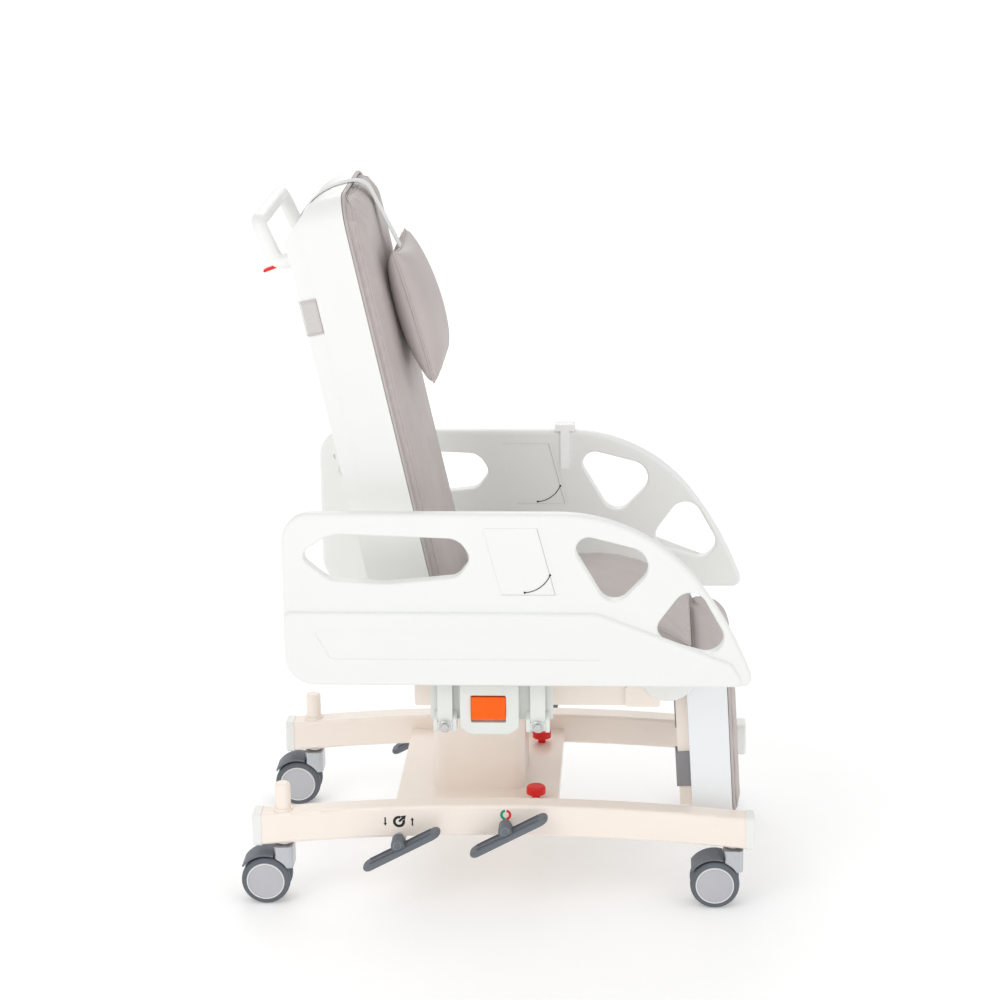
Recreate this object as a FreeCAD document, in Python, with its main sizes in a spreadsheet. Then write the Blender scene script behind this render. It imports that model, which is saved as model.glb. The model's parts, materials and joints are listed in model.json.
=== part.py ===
"""Transfer chair: wheeled base, telescopic lift, folding side boards, reclining back and rising leg rest.

Millimetres. +X is the front, +Y the sitter's left, +Z up; the origin is on the floor under the middle.
"""
import FreeCAD, Part
import math
import os

from FreeCAD import Placement, Rotation, Vector

os.makedirs("parts", exist_ok=True)
doc = FreeCAD.newDocument("transfer_chair")
sheet = doc.addObject("Spreadsheet::Sheet", "Sizes")
rows = []
nodes = []


def size(alias, value):
    """Writes one driving dimension into the sheet and gives it back."""
    rows.append(alias)
    sheet.set(f"A{len(rows)}", alias)
    sheet.set(f"B{len(rows)}", str(value))
    sheet.setAlias(f"B{len(rows)}", alias)
    return value


# Clearances
gap = size("gap", 0.3)
running = size("running", 0.05)
slide_gap = size("slide_gap", 1.0)

# Base rails, caps and posts
rail_back_x = size("rail_back_x", -477)
rail_front_x = size("rail_front_x", 503)
rail_y = size("rail_y", 262)
rail_width = size("rail_width", 50)
rail_bottom = size("rail_bottom", 126)
rail_height = size("rail_height", 66)
rail_rise = size("rail_rise", 25)
rail_wall = size("rail_wall", 3)
rail_round = size("rail_round", 7)
cap_length = size("cap_length", 18)
cap_lip = size("cap_lip", 2)
post_radius = size("post_radius", 16)
post_height = size("post_height", 58)
post_dome = size("post_dome", 7)
post_collar = size("post_collar", 20)
collar_tall = size("collar_tall", 5)

# Base tray
tray_back_x = size("tray_back_x", -212)
tray_front_x = size("tray_front_x", 122)
tray_top = size("tray_top", 182)
tray_depth = size("tray_depth", 34)
tray_wall = size("tray_wall", 4)

# Casters
wheel_radius = size("wheel_radius", 50)
wheel_width = size("wheel_width", 23)
wheel_gap = size("wheel_gap", 15)
tyre_round = size("tyre_round", 7)
hub_radius = size("hub_radius", 39)
hub_lip = size("hub_lip", 1.5)
hub_depth = size("hub_depth", 3)
axle_radius = size("axle_radius", 6)
caster_trail = size("caster_trail", 37)
caster_rear_x = size("caster_rear_x", -434)
caster_front_x = size("caster_front_x", 478)
fender_radius = size("fender_radius", 57.5)
fender_wall = size("fender_wall", 3.5)
fender_end = size("fender_end", 146)
well_clear = size("well_clear", 2)
bracket_top = size("bracket_top", 123)
bracket_low = size("bracket_low", 78)
bracket_half = size("bracket_half", 20)
bracket_round = size("bracket_round", 10)
web_radius = size("web_radius", 15)
stem_radius = size("stem_radius", 11)
stem_length = size("stem_length", 50)
sleeve_wall = size("sleeve_wall", 6)

# Pedals
lift_shaft_x = size("lift_shaft_x", -196)
brake_shaft_x = size("brake_shaft_x", 20)
lift_shaft_z = size("lift_shaft_z", 150)
brake_shaft_z = size("brake_shaft_z", 182)
shaft_radius = size("shaft_radius", 8)
pedal_length = size("pedal_length", 176)
pedal_width = size("pedal_width", 46)
pedal_thick = size("pedal_thick", 12)
pedal_tilt = size("pedal_tilt", 28)
pedal_offset = size("pedal_offset", 12)
pedal_drop = size("pedal_drop", 16)
pedal_round = size("pedal_round", 18)
pedal_hub_radius = size("pedal_hub_radius", 13)
pedal_rib = size("pedal_rib", 2.5)
boss_wall = size("boss_wall", 7)

# Release buttons on the tray
button_x = size("button_x", 76)
button_y = size("button_y", 160)
button_radius = size("button_radius", 20)
button_height = size("button_height", 16)
button_travel = size("button_travel", 8)
button_stem = size("button_stem", 8)

# Lifting column
column_x = size("column_x", -44)
column_length = size("column_length", 190)
column_width = size("column_width", 220)
column_round = size("column_round", 26)
column_top = size("column_top", 386)
column_wall = size("column_wall", 4)
cylinder_radius = size("cylinder_radius", 28)
rod_radius = size("rod_radius", 20)

# Seat frame, pan and cushion
frame_bottom = size("frame_bottom", 405)
tube = size("tube", 40)
frame_y = size("frame_y", 190)
frame_back_x = size("frame_back_x", -165)
frame_front_x = size("frame_front_x", 330)
frame_plate = size("frame_plate", 6)
tube_wall = size("tube_wall", 3)
pan_back_x = size("pan_back_x", -56)
pan_front_x = size("pan_front_x", 318)
pan_half = size("pan_half", 207)
pan_top = size("pan_top", 530)
pan_wall = size("pan_wall", 5)
pan_round = size("pan_round", 30)
seat_front_x = size("seat_front_x", 388)
seat_half = size("seat_half", 214)
seat_thick = size("seat_thick", 82)
seat_fall_x = size("seat_fall_x", 180)
seat_fall = size("seat_fall", 70)
cushion_crown = size("cushion_crown", 7)
cushion_bow = size("cushion_bow", 5)

# Hinge ears
ear_thick = size("ear_thick", 8)
ear_radius = size("ear_radius", 26)
ear_pin = size("ear_pin", 9)
ear_pin_length = size("ear_pin_length", 34)
ear_corner = size("ear_corner", 6)
back_foot = size("back_foot", 80)
leg_foot = size("leg_foot", 70)
side_clear = size("side_clear", 5)
cover_clear = size("cover_clear", 4)

# Backrest
back_hinge_x = size("back_hinge_x", -130)
back_hinge_z = size("back_hinge_z", 560)
back_tilt = size("back_tilt", 12)
back_front = size("back_front", 22)
back_half = size("back_half", 205)
back_below = size("back_below", 40)
back_above = size("back_above", 892)
shell_depth = size("shell_depth", 88)
cover_depth = size("cover_depth", 34)
shell_wall = size("shell_wall", 5)
back_corner = size("back_corner", 70)
back_crest = size("back_crest", 62)
back_pad = size("back_pad", 38)
band_low = size("band_low", 640)
band_tall = size("band_tall", 68)
band_thick = size("band_thick", 3)
handle_radius = size("handle_radius", 15)
handle_half = size("handle_half", 178)
handle_reach = size("handle_reach", 46)
handle_up = size("handle_up", 876)
handle_bend = size("handle_bend", 22)
handle_foot = size("handle_foot", 790)
lever_length = size("lever_length", 60)
lever_width = size("lever_width", 18)
lever_thick = size("lever_thick", 6)
lever_up = size("lever_up", 780)
lever_pin = size("lever_pin", 3)
lever_root = size("lever_root", 6)
lug_thick = size("lug_thick", 5)

# Head pillow and its strap
pillow_low = size("pillow_low", 480)
pillow_tall = size("pillow_tall", 276)
pillow_half = size("pillow_half", 132)
pillow_thick = size("pillow_thick", 96)
pillow_draw = size("pillow_draw", 14)
strap_width = size("strap_width", 40)
strap_thick = size("strap_thick", 2.5)

# Leg rest
leg_hinge_x = size("leg_hinge_x", 345)
leg_hinge_z = size("leg_hinge_z", 478)
leg_tilt = size("leg_tilt", 3)
leg_half = size("leg_half", 214)
leg_back = size("leg_back", 36)
leg_front = size("leg_front", 117)
leg_pad = size("leg_pad", 17)
leg_top = size("leg_top", 24)
leg_nose = size("leg_nose", 54)
leg_shoulder = size("leg_shoulder", 14)
leg_low = size("leg_low", 314)
leg_wall = size("leg_wall", 4)
arm_tube = size("arm_tube", 24)
arm_y = size("arm_y", 168)
arm_length = size("arm_length", 300)
hub_round = size("hub_round", 20)
bush_low = size("bush_low", 258)
bush_tall = size("bush_tall", 74)
bush_wall = size("bush_wall", 5)
hinge_cover_radius = size("hinge_cover_radius", 58)
hinge_cover_thick = size("hinge_cover_thick", 12)

# Side boards and their fold-down arms
board_back_x = size("board_back_x", -410)
board_tip_x = size("board_tip_x", 516)
board_bottom = size("board_bottom", 490)
board_top = size("board_top", 842)
board_inner = size("board_inner", 307)
board_thick = size("board_thick", 30)
board_step = size("board_step", 8)
board_round = size("board_round", 9)
board_fall = size("board_fall", 218)
board_waist = size("board_waist", 50)
board_waist_up = size("board_waist_up", 132)
gauge_deep = size("gauge_deep", 1.2)
hole_round = size("hole_round", 5)
ledge_z = size("ledge_z", 642)
swing_z = size("swing_z", 392)
swing_y = size("swing_y", 293)
swing_length = size("swing_length", 130)
swing_back_x = size("swing_back_x", -98)
swing_front_x = size("swing_front_x", 87)
swing_width = size("swing_width", 30)
swing_thick = size("swing_thick", 12)
swing_pin = size("swing_pin", 5)
swing_eye = size("swing_eye", 11)
cheek = size("cheek", 8)
housing_back_x = size("housing_back_x", -68)
housing_front_x = size("housing_front_x", 50)
housing_low = size("housing_low", 376)
housing_top = size("housing_top", 482)
housing_out = size("housing_out", 306)
housing_back = size("housing_back", 277)
handle_low = size("handle_low", 410)
handle_tall = size("handle_tall", 46)
handle_wide = size("handle_wide", 68)
handle_deep = size("handle_deep", 12)
handle_mid_x = size("handle_mid_x", -11)
handle_pin = size("handle_pin", 3)
handle_pin_drop = size("handle_pin_drop", 7)
handle_room = size("handle_room", 3)
clip_x = size("clip_x", 126)
clip_width = size("clip_width", 20)
clip_cap = size("clip_cap", 45)
clip_cap_tall = size("clip_cap_tall", 14)
clip_hold = size("clip_hold", 30)
clip_drop = size("clip_drop", 84)
clip_wall = size("clip_wall", 3)


# Drawing helpers


def rounded(corners):
    """Lines and tangent arcs round a polygon whose corners are (x, y, radius)."""
    spans = []
    count = len(corners)
    for k in range(count):
        before, here, after = corners[k - 1], corners[k], corners[(k + 1) % count]
        point = Vector(here[0], here[1], 0)
        into = (Vector(before[0], before[1], 0) - point).normalize()
        out = (Vector(after[0], after[1], 0) - point).normalize()
        half = into.getAngle(out) / 2
        if here[2] == 0:
            spans.append((point, None, point))
            continue
        reach = here[2] / math.tan(half)
        middle = (into + out).normalize() * (here[2] / math.sin(half) - here[2])
        spans.append((point + into * reach, point + middle, point + out * reach))
    edges = []
    for k in range(count):
        start, middle, end = spans[k]
        if middle is not None:
            edges.append(Part.Arc(start, middle, end))
        following = spans[(k + 1) % count][0]
        if (following - end).Length > 1e-6:
            edges.append(Part.LineSegment(end, following))
    return edges


def rectangle(x0, x1, y0, y1, radius=0):
    return rounded([(x0, y0, radius), (x1, y0, radius), (x1, y1, radius), (x0, y1, radius)])


def circle(x, y, radius):
    return [Part.Circle(Vector(x, y, 0), Vector(0, 0, 1), radius)]


def arc_band(points):
    """A closed outline of arcs and lines: each entry is a point, or a pair (through, to) for an arc."""
    edges = []
    here = Vector(*points[0], 0)
    first = here
    for entry in points[1:]:
        if isinstance(entry[0], tuple):
            through = Vector(*entry[0], 0)
            to = Vector(*entry[1], 0)
            edges.append(Part.Arc(here, through, to))
        else:
            to = Vector(*entry, 0)
            edges.append(Part.LineSegment(here, to))
        here = to
    if (first - here).Length > 1e-6:
        edges.append(Part.LineSegment(here, first))
    return edges


def sketch_on(body, plane, edges, name):
    """A sketch of these edges on one of the body's own origin planes."""
    sketch = body.newObject("Sketcher::SketchObject", name)
    support = [item for item in body.Origin.OriginFeatures if item.Role == plane + "_Plane"][0]
    sketch.AttachmentSupport = [(support, "")]
    sketch.MapMode = "FlatFace"
    sketch.addGeometry(edges, False)
    return sketch


def padded(label, plane, edges, length, centre=None):
    """A body: these edges padded to both sides of a plane by an expression, then moved to a centre."""
    body = doc.addObject("PartDesign::Body", label)
    body.Label = label
    sketch = sketch_on(body, plane, edges, label + "_outline")
    pad = body.newObject("PartDesign::Pad", label + "_pad")
    pad.Profile = sketch
    pad.Midplane = True
    pad.setExpression("Length", length)
    for axis, expression in (centre or {}).items():
        body.setExpression("Placement.Base." + axis, expression)
    return body


def turned(label, plane, edges, axis, centre=None):
    """A body revolved about its sketch's own horizontal or vertical axis."""
    body = doc.addObject("PartDesign::Body", label)
    body.Label = label
    sketch = sketch_on(body, plane, edges, label + "_outline")
    turn = body.newObject("PartDesign::Revolution", label + "_turn")
    turn.Profile = sketch
    turn.ReferenceAxis = (sketch, [axis])
    turn.Angle = 360
    for direction, expression in (centre or {}).items():
        body.setExpression("Placement.Base." + direction, expression)
    return body


def bar(label, radius, length, place, direction):
    """A round bar whose radius and length are expressions."""
    rod = doc.addObject("Part::Cylinder", label)
    rod.Label = label
    rod.setExpression("Radius", radius)
    rod.setExpression("Height", length)
    rod.Placement = Placement(place, Rotation(Vector(0, 0, 1), direction))
    return rod


def block(label, low, high):
    """A box between two corners, each a list of three expressions."""
    solid = doc.addObject("Part::Box", label)
    solid.Label = label
    for name, axis, a, b in zip(("Length", "Width", "Height"), "xyz", low, high):
        solid.setExpression(name, f"({b}) - ({a})")
        solid.setExpression("Placement.Base." + axis, a)
    return solid


def join(label, *pieces):
    fused = doc.addObject("Part::MultiFuse", label)
    fused.Label = label
    fused.Shapes = list(pieces)
    fused.Refine = True
    return fused


def cut(label, base, *tools):
    """The base with the tools taken out of it."""
    tool = tools[0]
    if len(tools) > 1:
        tool = doc.addObject("Part::MultiFuse", label + "_tools")
        tool.Shapes = list(tools)
    result = doc.addObject("Part::Cut", label)
    result.Label = label
    result.Base = base
    result.Tool = tool
    result.Refine = True
    return result


def common(label, *pieces):
    result = doc.addObject("Part::MultiCommon", label)
    result.Label = label
    result.Shapes = list(pieces)
    return result


def mirrored(label, source):
    """The same piece on the other side of the chair's middle plane."""
    twin = doc.addObject("Part::Mirroring", label)
    twin.Label = label
    twin.Source = source
    twin.Normal = Vector(0, 1, 0)
    return twin


def grouped(label, *pieces):
    """Separate solids that share one node."""
    group = doc.addObject("Part::Compound", label)
    group.Label = label
    group.Links = list(pieces)
    return group


def rounded_edges(label, base, radius, choose):
    """A fillet of every edge of the base that the test chooses."""
    doc.recompute()
    fillet = doc.addObject("Part::Fillet", label)
    fillet.Label = label
    fillet.Base = base
    edges = []
    for k, edge in enumerate(base.Shape.Edges):
        if choose(edge):
            edges.append((k + 1, radius, radius))
    fillet.Edges = edges
    return fillet


def node(piece, label=None):
    """Marks a finished sub-part, named for its file."""
    if label:
        piece.Label = label
    nodes.append(piece)
    return piece


def flat_at(axis, *places):
    """A test for edges that lie wholly in one of these planes."""
    def test(edge):
        low = getattr(edge.BoundBox, axis + "Min")
        high = getattr(edge.BoundBox, axis + "Max")
        return any(abs(low - place) < 1e-4 and abs(high - place) < 1e-4 for place in places)
    return test


SIDES = (("right", -1), ("left", 1))
ENDS = (("front", caster_front_x), ("rear", caster_rear_x))
PEDALS = (("lift", lift_shaft_x, lift_shaft_z), ("brake", brake_shaft_x, brake_shaft_z))


# Base rails, arched along their length


rail_mid_x = (rail_back_x + rail_front_x) / 2
rail_top = rail_bottom + rail_height


def rail_arch(x, level):
    """Height of an arched line of the rail, which has this level at its ends."""
    share = (x - rail_mid_x) / (rail_front_x - rail_mid_x)
    return level + rail_rise * (1 - share * share)


def rail_outline(wall):
    """The arched side of a rail, drawn in by a wall at its top and bottom."""
    low, high = rail_bottom + wall, rail_top - wall
    return arc_band([
        (rail_back_x, low),
        ((rail_mid_x, low + rail_rise), (rail_front_x, low)),
        (rail_front_x, high),
        ((rail_mid_x, high + rail_rise), (rail_back_x, high)),
    ])


rail_skins = {}


def make_rail(side, sign):
    place = {"y": f"{sign} * Sizes.rail_y"}
    outer = padded(f"{side}_rail_skin", "XZ", rail_outline(0), "Sizes.rail_width", place)
    face = sign * rail_y
    skin = rounded_edges(f"{side}_rail_rounded", outer, rail_round,
                         lambda e: flat_at("Y", face - rail_width / 2, face + rail_width / 2)(e)
                         and e.BoundBox.XLength > 10)
    rail_skins[side] = skin
    hollow = padded(f"{side}_rail_hollow", "XZ", rail_outline(rail_wall),
                    "Sizes.rail_width - 2 * Sizes.rail_wall",
                    place)
    tube_piece = cut(f"{side}_rail_tube", skin, hollow)
    sleeves = []
    bores = []
    for end, x in ENDS:
        foot = Vector(x, face, rail_bottom)
        sleeves.append(bar(f"{side}_{end}_sleeve", "Sizes.stem_radius + Sizes.sleeve_wall",
                           "Sizes.rail_height - Sizes.rail_wall", foot, Vector(0, 0, 1)))
        bores.append(bar(f"{side}_{end}_bore", "Sizes.stem_radius + Sizes.running",
                         "Sizes.stem_length + Sizes.gap",
                         Vector(x, face, rail_bottom - gap), Vector(0, 0, 1)))
    for name, x, z in PEDALS:
        sleeves.append(bar(f"{side}_{name}_boss", "Sizes.shaft_radius + Sizes.boss_wall", "Sizes.rail_width",
                           Vector(x, face - rail_width / 2, z), Vector(0, 1, 0)))
        bores.append(bar(f"{side}_{name}_hole", "Sizes.shaft_radius + Sizes.running", "2 * Sizes.rail_width",
                         Vector(x, face - rail_width, z), Vector(0, 1, 0)))
    return node(cut(f"{side}_base_rail", join(f"{side}_rail_body", tube_piece, *sleeves), *bores))


for side, sign in SIDES:
    make_rail(side, sign)


def make_cap(name, x, sign, step):
    """A moulded cap over a rail's end, with a lip all round."""
    face = sign * rail_y
    half = rail_width / 2 + cap_lip
    low, high = rail_bottom - cap_lip, rail_top + cap_lip
    cap = padded(f"{name}_cap", "YZ", rectangle(face - half, face + half, low, high, rail_round + cap_lip),
                 "Sizes.cap_length", {"x": f"{x} + {step} * Sizes.cap_length / 2"})
    return rounded_edges(f"{name}_cap_rounded", cap, 5, flat_at("X", x + step * cap_length))


caps = []
for side, sign in SIDES:
    caps.append(make_cap(f"{side}_front", rail_front_x, sign, 1))
    caps.append(make_cap(f"{side}_rear", rail_back_x, sign, -1))
node(grouped("rail_end_caps", *caps))

posts = []
post_foot = rail_arch(caster_rear_x, rail_top)
post_sink = rail_rise / 4
for side, sign in SIDES:
    outline = rounded([(0, -post_sink, 0), (post_collar, -post_sink, 0), (post_collar, collar_tall, 0),
                       (post_radius, collar_tall, 0), (post_radius, post_height, post_dome), (0, post_height, 0)])
    bar_piece = turned(f"{side}_post_bar", "XZ", outline, "V_Axis",
                       {"x": "Sizes.caster_rear_x", "y": f"{sign} * Sizes.rail_y", "z": f"{post_foot}"})
    posts.append(cut(f"{side}_post", bar_piece, rail_skins[side]))
node(grouped("accessory_posts", *posts))


# Base tray: an inverted channel between the rails


rail_inner = rail_y - rail_width / 2
inner_face = "(Sizes.rail_y - Sizes.rail_width / 2)"
tray_skin = block("tray_skin", ["Sizes.tray_back_x", "-" + inner_face, "Sizes.tray_top - Sizes.tray_depth"],
                  ["Sizes.tray_front_x", inner_face, "Sizes.tray_top"])
tray_hollow = block("tray_hollow",
                    ["Sizes.tray_back_x + Sizes.tray_wall", "-" + inner_face,
                     "Sizes.tray_top - 2 * Sizes.tray_depth"],
                    ["Sizes.tray_front_x - Sizes.tray_wall", inner_face, "Sizes.tray_top - Sizes.tray_wall"])
tray_holes = []
for side, sign in SIDES:
    tray_holes.append(bar(f"{side}_button_hole", "Sizes.button_stem + Sizes.gap", "4 * Sizes.tray_wall",
                          Vector(button_x, sign * button_y, tray_top - 2 * tray_wall), Vector(0, 0, 1)))
node(cut("base_tray", tray_skin, tray_hollow, *tray_holes))

for side, sign in SIDES:
    cap_low = button_travel + 4
    stem_low = -tray_wall - 6
    outline = rounded([(0, stem_low, 0), (button_stem, stem_low, 0), (button_stem, cap_low, 0),
                       (button_radius, cap_low, 0), (button_radius, cap_low + button_height, 6),
                       (0, cap_low + button_height, 0)])
    node(turned(f"{side}_release_button", "XZ", outline, "V_Axis",
                {"x": "Sizes.button_x", "y": f"{sign} * Sizes.button_y", "z": "Sizes.tray_top"}))


# Casters: a bracket that swivels on its stem, a fender, twin wheels and an axle with two hub plates


twin_half = wheel_gap / 2 + wheel_width


def polar(radius, degrees):
    return (radius * math.cos(math.radians(degrees)), radius * math.sin(math.radians(degrees)))


def make_caster(end, x, side, sign):
    name = f"{end}_{side}_caster"
    face = sign * rail_y
    middle = {"x": f"{x} - Sizes.caster_trail", "y": f"{sign} * Sizes.rail_y", "z": "Sizes.wheel_radius"}
    web_width = "Sizes.wheel_gap - 2 * Sizes.gap"
    housing = padded(f"{name}_housing", "XY",
                     rectangle(-bracket_half, bracket_half, 2 - twin_half, twin_half - 2, bracket_round),
                     "Sizes.bracket_top - Sizes.bracket_low",
                     {"x": f"{x}", "y": f"{sign} * Sizes.rail_y",
                      "z": "(Sizes.bracket_top + Sizes.bracket_low) / 2"})
    wells = []
    well_in = wheel_gap / 2 - gap
    well_out = twin_half + 2
    for k in (-1, 1):
        wells.append(padded(f"{name}_well_{k + 1}", "XZ", circle(0, 0, wheel_radius + well_clear),
                            f"{well_out - well_in}",
                            {**middle, "y": f"{sign} * Sizes.rail_y + {k * (well_in + well_out) / 2}"}))
    inner = fender_radius - fender_wall
    top = bracket_top - wheel_radius
    low = bracket_low - wheel_radius
    web = padded(f"{name}_web", "XZ", rounded([
        (-web_radius, -web_radius, web_radius * 0.9), (web_radius, -web_radius, web_radius * 0.5),
        (caster_trail + bracket_half - 1, low, 3), (caster_trail + bracket_half - 1, top, 0),
        (caster_trail, top, 0), (caster_trail - bracket_half + 1, inner - 2 * fender_wall, 0),
        (-web_radius, web_radius, web_radius * 0.9)]), web_width, middle)
    stem = bar(f"{name}_stem", "Sizes.stem_radius",
               "Sizes.rail_bottom - Sizes.bracket_top + Sizes.stem_length - 2 * Sizes.gap",
               Vector(x, face, bracket_top), Vector(0, 0, 1))
    bore = padded(f"{name}_bore", "XZ", circle(0, 0, axle_radius + running), "2 * Sizes.wheel_gap", middle)
    swivel = join(f"{name}_body", cut(f"{name}_arch", housing, *wells), web, stem)
    node(cut(f"{name}_bracket", swivel, bore))
    middle_angle = (fender_end + 60) / 2
    arch = padded(f"{name}_arch_band", "XZ", arc_band([
        polar(inner, 60), (polar(inner, middle_angle), polar(inner, fender_end)), polar(fender_radius,
                                                                                        fender_end),
        (polar(fender_radius, middle_angle), polar(fender_radius, 60))]), f"{2 * twin_half}", middle)
    clear = padded(f"{name}_fender_end", "XZ",
                   rectangle(caster_trail - bracket_half - gap, 2 * fender_radius, 0, 2 * fender_radius),
                   f"{4 * twin_half}", middle)
    node(cut(f"{name}_fender", arch, clear))
    tyres = []
    inside = wheel_gap / 2
    outside = inside + wheel_width
    for k in (-1, 1):
        outline = rounded([(k * inside, axle_radius, 0), (k * outside, axle_radius, 0),
                           (k * outside, wheel_radius - 1, tyre_round), (k * (inside + wheel_width / 2),
                                                                         wheel_radius, 0),
                           (k * inside, wheel_radius - 1, tyre_round)])
        tyre = turned(f"{name}_tyre_{k + 1}", "YZ", outline, "H_Axis", middle)
        seat_cut = padded(f"{name}_seat_{k + 1}", "XZ", circle(0, 0, hub_radius), "2 * Sizes.hub_depth",
                          {**middle, "y": f"{sign} * Sizes.rail_y + {k} * {outside}"})
        tyres.append(cut(f"{name}_wheel_{k + 1}", tyre, seat_cut))
    node(grouped(f"{name}_wheels", *tyres))
    disc = outside - hub_depth
    proud = outside + hub_lip
    dish = rounded([(-outside, 0, 0), (-outside, hub_radius - 3 * hub_lip, 0),
                    (-proud, hub_radius - 2 * hub_lip, 0),
                    (-proud, hub_radius - hub_lip, 0), (-outside, hub_radius, 0), (-disc, hub_radius, 0),
                    (-disc, axle_radius, 0), (disc, axle_radius, 0), (disc, hub_radius, 0), (outside,
                                                                                             hub_radius, 0),
                    (proud, hub_radius - hub_lip, 0), (proud, hub_radius - 2 * hub_lip, 0),
                    (outside, hub_radius - 3 * hub_lip, 0), (outside, 0, 0)])
    node(turned(f"{name}_hubs", "YZ", dish, "H_Axis", middle))


for end, x in ENDS:
    for side, sign in SIDES:
        make_caster(end, x, side, sign)


# Foot pedals: the lift's pair shares a shaft below the tray, the brake's pair has a stub shaft in each rail


pedal_y = rail_y + rail_width / 2 + pedal_offset + pedal_width / 2
shaft_end = pedal_y + pedal_width / 2 - 6


def make_tread(name, side, sign, x, z):
    """A ribbed tread below the hub that holds it to its shaft."""
    half = pedal_length / 2
    middle = {"z": "-Sizes.pedal_drop"}
    tread = padded(f"{side}_{name}_tread", "XY",
                   rectangle(-half, half, -pedal_width / 2, pedal_width / 2, pedal_round),
                   "Sizes.pedal_thick", middle)
    tread = rounded_edges(f"{side}_{name}_tread_rounded", tread, pedal_thick / 2 - 0.5,
                          flat_at("Z", -pedal_drop - pedal_thick / 2, -pedal_drop + pedal_thick / 2))
    hub = padded(f"{side}_{name}_hub", "XZ", circle(0, 0, pedal_hub_radius), "Sizes.pedal_width * 0.7")
    lug = padded(f"{side}_{name}_lug", "XZ", rectangle(-pedal_hub_radius, pedal_hub_radius, -pedal_drop, 0),
                 "Sizes.pedal_width * 0.7")
    ribs = []
    for k in (-1, 1):
        ribs.append(padded(f"{side}_{name}_rib_{k + 1}", "XZ", rectangle(
            -half + pedal_round, half - pedal_round, -pedal_drop, -pedal_drop + pedal_thick / 2 + pedal_rib),
            "Sizes.pedal_rib", {"y": f"{k} * Sizes.pedal_width / 4"}))
    bore = padded(f"{side}_{name}_bore", "XZ", circle(0, 0, shaft_radius), "2 * Sizes.pedal_width")
    pedal = cut(f"{side}_{name}_pedal", join(f"{side}_{name}_form", tread, hub, lug, *ribs), bore)
    pedal.Placement = Placement(Vector(x, sign * pedal_y, z), Rotation(Vector(0, 1, 0), -pedal_tilt))
    return pedal


for name, x, z in PEDALS:
    node(grouped(f"{name}_pedals", *[make_tread(name, side, sign, x, z) for side, sign in SIDES]))
lift_name, lift_x, lift_z = PEDALS[0]
node(bar("lift_pedal_shaft", "Sizes.shaft_radius", f"{2 * shaft_end}", Vector(lift_x, -shaft_end, lift_z),
         Vector(0, 1, 0)))
brake_name, brake_x, brake_z = PEDALS[1]
stubs = [bar(f"{side}_brake_stub", "Sizes.shaft_radius", f"{shaft_end - rail_y + rail_width / 2}",
             Vector(brake_x, sign * shaft_end, brake_z), Vector(0, -sign, 0)) for side, sign in SIDES]
node(grouped("brake_pedal_shafts", *stubs))


# Lifting column: a fixed cover, a middle stage, an inner tube, and a hydraulic ram inside


def column_stage(label, inset, low, high):
    """One rounded tube of the column, drawn in from the cover by an inset."""
    half_x = column_length / 2 - inset
    half_y = column_width / 2 - inset
    corner = column_round - inset
    wall = column_wall
    outer = rectangle(column_x - half_x, column_x + half_x, -half_y, half_y, corner)
    inner = rectangle(column_x - half_x + wall, column_x + half_x - wall, -half_y + wall, half_y - wall,
                      corner - wall)
    return node(padded(label, "XY", outer + inner, f"{high - low}", {"z": f"{(high + low) / 2}"}))


stage = column_wall + slide_gap
column_stage("column_cover", 0, tray_top, column_top)
column_stage("column_middle", stage, tray_top + gap, column_top + 6)
column_stage("lift_column", 2 * stage, tray_top + 2 * gap, frame_bottom)

barrel = bar("lift_barrel", "Sizes.cylinder_radius", "Sizes.column_top - Sizes.tray_top - 6",
             Vector(column_x, 0, tray_top), Vector(0, 0, 1))
barrel_bore = bar("lift_bore", "Sizes.rod_radius + Sizes.running", "Sizes.column_top",
                  Vector(column_x, 0, tray_top + 8), Vector(0, 0, 1))
node(cut("lift_cylinder", barrel, barrel_bore))
node(bar("lift_rod", "Sizes.rod_radius", "Sizes.frame_bottom - Sizes.tray_top - 8 - Sizes.gap",
         Vector(column_x, 0, tray_top + 8 + gap), Vector(0, 0, 1)))


# Seat frame: welded tubes and a plate over the column


frame_top = frame_bottom + tube
frame_high = "Sizes.frame_bottom + Sizes.tube"


def beam(label, low, high, along):
    """A square tube between two plan corners, open at its ends, as a skin and its hollow."""
    low = low + ["Sizes.frame_bottom"]
    high = high + [frame_high]
    skin = block(label, low, high)
    walls = ["0" if axis == along else "Sizes.tube_wall" for axis in "xyz"]
    hollow = block(label + "_hollow", [f"{a} + {w}" for a, w in zip(low, walls)],
                   [f"{a} - {w}" for a, w in zip(high, walls)])
    return skin, hollow


beams = []
for side, sign in SIDES:
    beams.append(beam(f"{side}_seat_beam",
                      ["Sizes.frame_back_x", f"{sign} * Sizes.frame_y - Sizes.tube / 2"],
                      ["Sizes.frame_front_x", f"{sign} * Sizes.frame_y + Sizes.tube / 2"], "x"))
for end in ("back", "front"):
    middle = f"Sizes.swing_{end}_x"
    beams.append(beam(f"{end}_board_beam", [f"{middle} - Sizes.tube / 2", "-Sizes.housing_back"],
                      [f"{middle} + Sizes.tube / 2", "Sizes.housing_back"], "y"))
beams.append(beam("seat_front_beam", ["Sizes.frame_front_x - Sizes.tube", "-Sizes.frame_y + Sizes.tube / 2"],
                  ["Sizes.frame_front_x", "Sizes.frame_y - Sizes.tube / 2"], "y"))
column_plate = block("column_plate", ["Sizes.swing_back_x", "-Sizes.frame_y", "Sizes.frame_bottom"],
                     ["Sizes.swing_front_x", "Sizes.frame_y", "Sizes.frame_bottom + Sizes.frame_plate"])
frame_tubes = cut("frame_tubes", join("frame_skins", *[skin for skin, _ in beams]),
                  *[hollow for _, hollow in beams])
seat_frame = node(join("seat_frame", frame_tubes, column_plate))


# Seat pan: a shallow moulded tray, open below


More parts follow.
